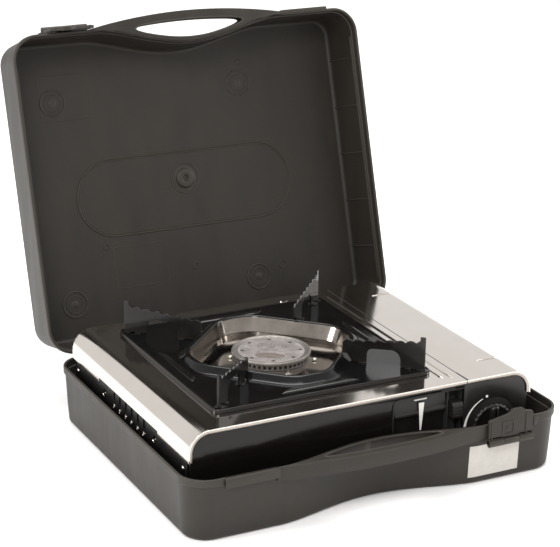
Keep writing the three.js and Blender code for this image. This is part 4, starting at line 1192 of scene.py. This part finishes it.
@dataclass
class FrontControls:
    """The gloss front with its control recess, lock lever, knob and printed marks."""

    face: float = -131.5
    panel_back: float = -129.0
    recess: tuple[float, float, float, float] = (20.0, 158.0, 19.0, 87.8)
    recess_floor: float = -121.2
    lever_x: float = 88.0
    knob: Flat = (126.0, 45.0)
    knob_radius: float = 22.0

    def build(self, frame: dict) -> None:
        """Makes the front's pieces."""
        self.panel()
        self.recess_shell()
        self.dial_plate()
        self.shelf()
        refined(frame, "lock_lever", SATIN_ABS, Body.LEVER, 0.7)
        self.lever_ribs()
        self.turn_knob()
        self.marks()

    def panel(self) -> None:
        """The gloss panel, its window's edge rolled inwards, and a dark block of painted shade at the locking
        slot near its top edge.
        """
        x0, x1, z0, z1 = self.recess
        outer = round_rect(-177.8, 162.8, 7.6, 92.6, 2.0, 17.8)
        window = round_rect(x0 - 0.2, x1 + 0.2, z0 - 0.2, z1 + 0.2, 8.2, 8.2)
        made = Shape().frame(outer, window, self.face, self.panel_back, Axis.Y)
        piece = made.object("front_panel_gloss", GLOSS_ABS.build(), 35, 1.0, 4)
        settle(piece, Body.STOVE, ("front_panel",))
        # A dark rubber-finished block stands proud of the face at the locking slot: painted shade for the
        # slot's shadowed inside.
        slot = Shape()
        slot.prism(fillet(rectangle(70, 85, 87.9, 90.4), 0.5), self.face - 0.15, self.face + 1, Axis.Y)
        settle(slot.object("front_edge_slot_shade", MOULDED_RUBBER.build(), 35), Body.STOVE)

    def recess_shell(self) -> None:
        """The dished control recess with drafted walls and a rounded floor edge."""
        x0, x1, z0, z1 = self.recess

        def at(inset: float, y: float, radius: float = 8.0) -> list[Point]:
            corner = radius - inset * 0.6
            outline = round_rect(x0 + 0.3 + inset, x1 - 0.3 - inset, z0 + 0.3 + inset, z1 - 0.3 - inset,
                                 corner, corner)
            return upright(outline, y)

        rings = [at(0, -119.0), at(0, self.face + 0.7), at(0.25, self.face + 0.2), at(0.8, self.face),
                 at(1.3, self.face + 0.2), at(1.7, self.face + 0.8), at(2.2, self.recess_floor - 2),
                 at(2.8, self.recess_floor - 0.7), at(3.9, self.recess_floor)]
        made = Shape().loft(rings).object("control_recess_shell", SATIN_ABS.build(), 50)
        settle(made, Body.STOVE, ("control_bezel",))

    def dial_plate(self) -> None:
        """The flush plate round the knob, with a dished round hole."""
        kx, kz = self.knob
        x0, x1, z0, z1 = 94.4, 162.3, 15.0, 92.0
        round_top = 17.2
        corners = [(x0, z0), (x1, z0), *arc(x1 - round_top, z1 - round_top, round_top, 0, 90, 12), (x0, z1)]
        around = [(x - kx, z - kz) for x, z in corners]
        spans = 144
        turns = [2 * math.pi * i / spans for i in range(spans)]
        outline = [(reach(around, t), t) for t in turns]

        def hole(radius: float, y: float) -> list[Point]:
            return upright((polar(kx, kz, radius, t) for t in turns), y)

        def edge(y: float, inset: float = 0.0) -> list[Point]:
            return upright((polar(kx, kz, far - inset, t) for far, t in outline), y)

        front = self.face
        rings = [edge(front + 0.6), edge(front - 0.3), edge(front - 0.6, 0.4), hole(27.8, front - 0.6),
                 hole(27.3, front - 0.3), hole(26.6, front + 1.2), hole(24.4, self.recess_floor - 0.9),
                 hole(20.0, self.recess_floor - 0.4)]
        made = Shape().loft(rings).object("dial_plate", SATIN_ABS.build(), 32)
        settle(made, Body.STOVE)

    def shelf(self) -> None:
        """The stepped shelf of the lock side and the slot that the lever runs in."""
        shelf = Shape()
        deep = self.recess_floor + 0.4
        shelf.prism([(deep, 66.5), (self.face + 5.2, 66.5), (self.face + 4.4, 67.4), (self.face + 4.4, 69.6),
                     (self.face + 6.0, 71.6), (self.face + 6.6, 84.6), (deep, 85.2)], 25.0, 79.0, Axis.X)
        made = shelf.object("lock_shelf", SATIN_ABS.build(), 25, 0.5, 3)
        settle(made, Body.STOVE)
        guide = Shape()
        for x in (80.4, 95.0):
            guide.prism(fillet(rectangle(x - 0.8, x + 0.8, 22, 84), 0.5), self.face + 5.0, deep, Axis.Y)
        guide.prism(rectangle(84.2, 91.8, 29, 76), self.recess_floor - 0.15, deep, Axis.Y)
        settle(guide.object("lever_guides", MOULDED_RUBBER.build(), 35), Body.STOVE)

    def lever_ribs(self) -> None:
        """The finger ribs on the lever."""
        rows = Repeat(4, (self.lever_x, -133.0, 61.4), (0.0, 0.0, 2.9), size=(8.8, 0.9, 1.1))
        settle(rows.object("lock_lever_ribs", SATIN_ABS, 0.25), Body.LEVER)

    def turn_knob(self) -> None:
        """The fluted knob with its raised grip bar."""
        kx, kz = self.knob
        steps, flutes = 144, 24

        def ring(radius: float, y: float, depth: float) -> list[Point]:
            points = []
            for i in range(steps):
                turn = 2 * math.pi * i / steps
                dip = depth * (0.5 + 0.5 * math.cos(flutes * turn)) ** 2
                points.append(polar(kx, kz, radius - dip, turn))
            return upright(points, y)

        # How far each ring lies inside the radius, its place in Y and the depth of its flutes.
        levels = ((0, -121.8, 0.0), (0, -124.0, 0.0), (0.4, -124.4, 0.7), (0.7, -132.2, 0.8),
                  (1.3, -133.4, 0.6), (2.3, -134.1, 0.2), (3.6, -134.3, 0.0), (4.6, -133.7, 0.0),
                  (8, -133.5, 0.0))
        disc = Shape().loft([ring(self.knob_radius - inset, y, depth) for inset, y, depth in levels])
        made = disc.object("gas_knob_disc", SATIN_ABS.build(), 40)
        settle(made, Body.KNOB, ("control_knob",))
        half_x, half_z, corner, crest = 4.2, 19.5, 2.6, -138.0
        rings = []
        for inset, y in ((0.0, -133.0), (0.0, -136.6), (0.5, -137.5), (1.3, crest)):
            outline = round_rect(kx - half_x + inset, kx + half_x - inset, kz - half_z + inset,
                                 kz + half_z - inset, corner, corner)
            rings.append(upright(outline, y))
        bar = Shape().loft(rings)
        settle(bar.object("gas_knob_bar", SATIN_ABS.build(), 40), Body.KNOB)
        line = fillet(rectangle(kx - 0.8, kx + 0.8, kz + 10, kz + 17.6), 0.5)
        pointer = Shape().prism(line, crest, crest + 0.5, Axis.Y)
        settle(pointer.object("gas_knob_pointer", WHITE_INK.build(), 35), Body.KNOB)

    def marks(self) -> None:
        """The printed lock wedge, the dial's tapered arc and its dot."""
        kx, kz = self.knob
        ink = Shape()
        plane = self.face + 3.9
        ink.prism([(51.3, 52.0), (52.7, 52.0), (55.0, 78.6), (49.4, 78.6)], plane, plane + 0.4, Axis.Y)
        ink.prism(fillet(rectangle(45.5, 58.5, 80.6, 82.0), 0.5), self.face + 5.6, self.face + 6.6, Axis.Y)
        plane = self.face - 0.75
        first, last, radius, spans = 112, 192, 29.9, 40
        outer, inner = [], []
        for i in range(spans + 1):
            t = i / spans
            turn = math.radians(first + (last - first) * t)
            half = 0.25 + 1.35 * t
            for side, line in ((1, outer), (-1, inner)):
                line.append(polar(kx, kz, radius + side * half, turn))
        ink.prism([*outer, *reversed(inner)], plane, plane + 0.25, Axis.Y)
        dot = circle(*polar(kx, kz, 30.4, math.radians(103.5)), 1.25, 24)
        ink.prism(dot, plane, plane + 0.25, Axis.Y)
        settle(ink.object("printed_marks", WHITE_INK.build(), 40), Body.STOVE)


# ------------------------------------------------------------------ pan support


def reach(outline: Sequence[Flat], turn: float) -> float:
    """How far a closed outline round the origin lies in a direction."""
    ray = Vector((math.cos(turn), math.sin(turn)))
    best = 0.0
    for i, a in enumerate(outline):
        b = outline[(i + 1) % len(outline)]
        ex, ey = b[0] - a[0], b[1] - a[1]
        cross = ray.x * ey - ray.y * ex
        if abs(cross) < 1e-9:
            continue
        far = (a[0] * ey - a[1] * ex) / cross
        along = (a[0] * ray.y - a[1] * ray.x) / cross
        if far > 0 and -1e-6 <= along <= 1 + 1e-6:
            best = max(best, far)
    return best


@dataclass
class PanSupport:
    """The enamelled drip plate with its raised collar, pressed beads and four toothed fins."""

    middle: Flat = (-34.0, 1.5)
    half: float = 109.0
    corner: float = 8.0
    collar_half: float = 78.0
    collar_diagonal: float = 66.5
    low: float = 95.1
    sheet_under: float = 96.7
    sheet: float = 97.9
    crest: float = 104.0
    foot: float = 88.8
    samples: int = 240

    def square(self, inset: float) -> list[Flat]:
        """The plate's rounded square."""
        h = self.half - inset
        return fillet(rectangle(-h, h, -h, h), max(1.0, self.corner - inset))

    def octagon(self, grow: float) -> list[Flat]:
        """The collar's rounded eight-sided outline."""
        h = self.collar_half + grow
        s = (self.collar_diagonal + grow) * math.sqrt(2) - h
        return fillet([(h, -s), (h, s), (s, h), (-s, h), (-h, s), (-h, -s), (-s, -h), (s, -h)], 12.0)

    def ring(self, outline: Sequence[Flat], z: float) -> list[Point]:
        """An outline sampled by direction, at a height."""
        points = []
        for i in range(self.samples):
            turn = 2 * math.pi * i / self.samples
            far = reach(outline, turn)
            points.append(polar(*self.middle, far, turn))
        return level(points, z)

    def turned(self, outline: Sequence[Flat], turn: float) -> list[Flat]:
        """An outline round the origin, turned and put round the plate's middle."""
        c, s = math.cos(turn), math.sin(turn)
        return [(self.middle[0] + u * c - v * s, self.middle[1] + u * s + v * c) for u, v in outline]

    def build(self, frame: dict) -> None:
        """Makes the support's pieces."""
        square, octagon = self.square, self.octagon
        rings = [
            (square(0.0), self.low), (square(0.0), self.sheet), (square(0.25), self.sheet + 0.45),
            (square(0.8), self.sheet + 0.7), (square(1.5), self.sheet + 0.5), (square(2.3), self.sheet + 0.1),
            (square(3.4), self.sheet), (octagon(12.5), self.sheet), (octagon(10.2), self.sheet + 0.2),
            (octagon(8.8), self.sheet + 0.9), (octagon(5.4), self.crest - 1.8),
            (octagon(4.4), self.crest - 0.7), (octagon(3.4), self.crest - 0.15),
            (octagon(2.2), self.crest), (octagon(1.0), self.crest - 0.25),
            (octagon(0.3), self.crest - 1.0), (octagon(-0.2), self.crest - 2.2),
            (octagon(-4.6), self.foot + 0.8), (octagon(-4.6), self.foot + 0.2),
            (octagon(-3.8), self.foot), (octagon(-3.3), self.foot + 0.6),
            (octagon(1.2), self.crest - 1.9), (octagon(3.0), self.crest - 1.7),
            (octagon(7.6), self.sheet_under + 0.4), (octagon(9.6), self.sheet_under),
            (square(1.2), self.sheet_under), (square(1.2), self.low),
        ]
        plate = Shape().loft([self.ring(outline, z) for outline, z in rings], closed=True)
        made = plate.object("drip_plate", VITREOUS_ENAMEL.build(), 45)
        settle(made, Body.SUPPORT, ("support_plate",))
        # A light steel sheet over the collar's inner wall: a painted reflection of the enamel's sheen.
        walls = ((0.15, self.crest - 1.5), (-0.25, self.crest - 1.6), (-4.95, self.foot + 0.9),
                 (-4.7, self.foot + 0.7))
        liner = Shape().loft([self.ring(octagon(grow), z) for grow, z in walls], closed=True)
        settle(liner.object("collar_reflection_sheet", COLLAR_REFLECTION_STEEL.build(), 45), Body.SUPPORT)
        self.pads()
        for corner in CORNERS:
            refined(frame, f"support_fin_{corner}", VITREOUS_ENAMEL, Body.SUPPORT, 0.45, 25)
        self.fin_feet()

    def pads(self) -> None:
        """The four long beads pressed into the plate between the collar and its edges."""
        pads = Shape()
        outline = fillet([(-40, -98.5), (40, -98.5), (31, -92.0), (-31, -92.0)], 3.0)
        inner = fillet([(-36, -97.2), (36, -97.2), (29, -93.3), (-29, -93.3)], 2.0)
        levels = ((outline, self.sheet - 0.3), (outline, self.sheet + 0.05), (inner, self.sheet + 1.1))
        for quarter in range(4):
            turn = math.radians(90 * quarter)
            pads.loft([level(self.turned(line, turn), z) for line, z in levels])
        settle(pads.object("drip_plate_beads", VITREOUS_ENAMEL.build(), 50), Body.SUPPORT)

    def fin_feet(self) -> None:
        """The spot-welded feet of the fins."""
        feet = Shape()
        for quarter in range(4):
            turn = math.radians(45 + 90 * quarter)
            for radius in (88.0, 132.0, 143.0):
                for side in (-1, 1):
                    near, far = side * 0.8, side * 4.4
                    tab = [(radius - 3.5, near), (radius + 3.5, near),
                           (radius + 2.6, far), (radius - 2.6, far)]
                    feet.prism(self.turned(tab, turn), self.sheet - 0.1, self.sheet + 0.9, Axis.Z)
        settle(feet.object("fin_feet", VITREOUS_ENAMEL.build(), 35, 0.3), Body.SUPPORT)


# ------------------------------------------------------------------ burner


@dataclass
class Burner:
    """The burner: pressed cap, ported ring, cast head, the well's screws and the electrode's clip."""

    middle: Flat = (-34.0, 1.5)
    top: float = 99.0
    radius: float = 37.0
    ring_top: float = 95.7
    ring_low: float = 90.2
    face_radius: float = 31.0
    holes: int = 8
    hole_ring: float = 27.0
    hole_radius: float = 1.9
    marks_front: float = -122.0

    def centre(self) -> Point:
        """A point on the burner's axis, at height 0."""
        return (self.middle[0], self.middle[1], 0.0)

    def build(self, frame: dict) -> None:
        """Makes the burner's pieces."""
        self.cap()
        self.ports()
        refined(frame, "burner_base", CAST_ALUMINIUM, Body.STOVE, 0.4, 40)
        self.screws()

    def cap(self) -> None:
        """The pressed cap: a rolled rim, and a flat face with a ring of punched holes."""
        t, r = self.top, self.radius
        profile = [(30.2, t - 2.6), (30.2, t - 1.5), (31.4, t - 1.45), (33.2, t - 1.1), (34.8, t - 0.3),
                   (35.7, t), (36.6, t - 0.35), (r, t - 1.2), (r, t - 2.3), (36.4, t - 3.0),
                   (34.8, t - 3.0), (34.0, t - 2.6)]
        rim = Shape().lathe(profile, self.centre(), steps=128)
        made = rim.object("burner_cap_rim", CAST_ALUMINIUM.build(), 40)
        settle(made, Body.STOVE, ("burner_cap",))
        disc = Shape().prism(circle(*self.middle, self.face_radius, 128), t - 2.4, t - 1.1, Axis.Z)
        made = disc.object("burner_cap_plate", PRESSED_ALUMINIUM.build(), 40)
        cutter = Shape()
        for i in range(self.holes):
            turn = 2 * math.pi * (i + 0.5) / self.holes
            hole = circle(*polar(*self.middle, self.hole_ring, turn), self.hole_radius, 16)
            cutter.prism(hole, t - 4, t + 1, Axis.Z)
        carve(made, cutter)
        smooth_shade(made, 20)
        settle(made, Body.STOVE)
        self.cap_marks()

    def cap_marks(self) -> None:
        """The dark crescent patch at the cap's front and the three stamped bars behind it."""
        low, high = self.top - 1.3, self.top - 1.02
        front = math.radians(self.marks_front)
        ahead, side = (math.cos(front), math.sin(front)), (-math.sin(front), math.cos(front))

        def at(middle: Flat, out: float, across: float) -> Flat:
            return (middle[0] + out * ahead[0] + across * side[0],
                    middle[1] + out * ahead[1] + across * side[1])

        marks = Shape()
        lens = []
        for turn in (2 * math.pi * k / 32 for k in range(32)):
            lens.append(at(self.middle, 14.0 + 6.5 * math.cos(turn), 14.0 * math.sin(turn)))
        marks.prism(lens, low, high, Axis.Z)
        for across in (-11.5, 0.0, 11.5):
            middle = at(self.middle, -11.5, across)
            rims = []
            for half_width, half_length in ((1.8, 5.6), (1.2, 5.0)):
                corners = [at(middle, v, u) for u, v in (
                    (-half_width, -half_length), (-half_width, half_length),
                    (half_width, half_length), (half_width, -half_length))]
                rims.append(fillet(corners, 0.7, 3))
            marks.frame(rims[0], rims[1], low, high - 0.02, Axis.Z)
        settle(marks.object("burner_cap_marks", DARK_CAP_ALUMINIUM.build(), 40), Body.STOVE)

    def ports(self) -> None:
        """The ported ring: a dark core, bright lips and the lands between the ports."""
        low, top = self.ring_low, self.ring_top
        core = Shape().lathe(rectangle(30.2, 32.6, low + 0.2, top - 0.1), self.centre(), steps=96)
        made = core.object("burner_ring_core", POWDER_COAT.build(), 40)
        settle(made, Body.STOVE, ("burner_ring",))
        lips = Shape()
        inside, lip = 32.0, 35.0
        for z0, z1 in ((low, low + 1.5), (top - 1.3, top - 0.1)):
            lips.lathe([(inside, z0), (lip - 0.5, z0), (lip, z0 + 0.4), (lip, z1 - 0.4), (lip - 0.5, z1),
                        (inside, z1)], self.centre(), steps=96)
        lips.lathe([(33.0, low - 1.8), (35.6, low - 1.8), (36.6, low - 1.2), (36.6, low - 0.6),
                    (35.6, low - 0.2), (33.0, low - 0.2)], self.centre(), steps=96)
        settle(lips.object("burner_ring_lips", CAST_ALUMINIUM.build(), 40), Body.STOVE)
        lands = Repeat(44, (*self.middle, (low + top) / 2), ring=33.5, size=(2.4, 2.3, 4.6))
        settle(lands.object("burner_ring_lands", CAST_ALUMINIUM, 0.25), Body.STOVE)

    def screws(self) -> None:
        """The three fixing screws in the well round the burner, and the electrode's clip."""
        heads = Repeat(3, (*self.middle, 80.9), ring=46.0, size=(6.0, 6.0, 3.0), round_block=True)
        settle(heads.object("well_screws", ZINC_PLATE), Body.STOVE)
        bracket = Shape().prism(fillet(rectangle(-40.5, -33.5, -41.5, -35.2), 1.2), 89.4, 90.0, Axis.Z)
        bracket.prism(circle(-37.0, -39.1, 2.9, 16), 89.9, 90.9, Axis.Z)
        settle(bracket.object("electrode_clip", DRAWN_STEEL.build(), 35, 0.15), Body.STOVE)


def main() -> None:
    """Loads the frame and builds every sub-assembly in order."""
    logging.basicConfig(level=logging.INFO, format="%(name)s: %(message)s")
    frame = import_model()
    Studio().build()
    dress_nodes(frame)
    bottom = CaseHalf("case_bottom", lid=False)
    bottom.build(CASE_POLYETHYLENE)
    lid = Lid("case_lid", lid=True)
    lid.build(CASE_POLYETHYLENE)
    lid.inside(CASE_POLYETHYLENE)
    Latch("bottom_latch", "bottom_latch", bottom, Body.BOTTOM_LATCH).build(CASE_POLYETHYLENE)
    Latch("lid_latch", "lid_latch", lid, Body.LID_LATCH).build(CASE_POLYETHYLENE)
    Label(bottom).build()
    SteelBody().build(frame)
    FrontControls().build(frame)
    PanSupport().build(frame)
    Burner().build(frame)


if __name__ == "__main__":
    main()
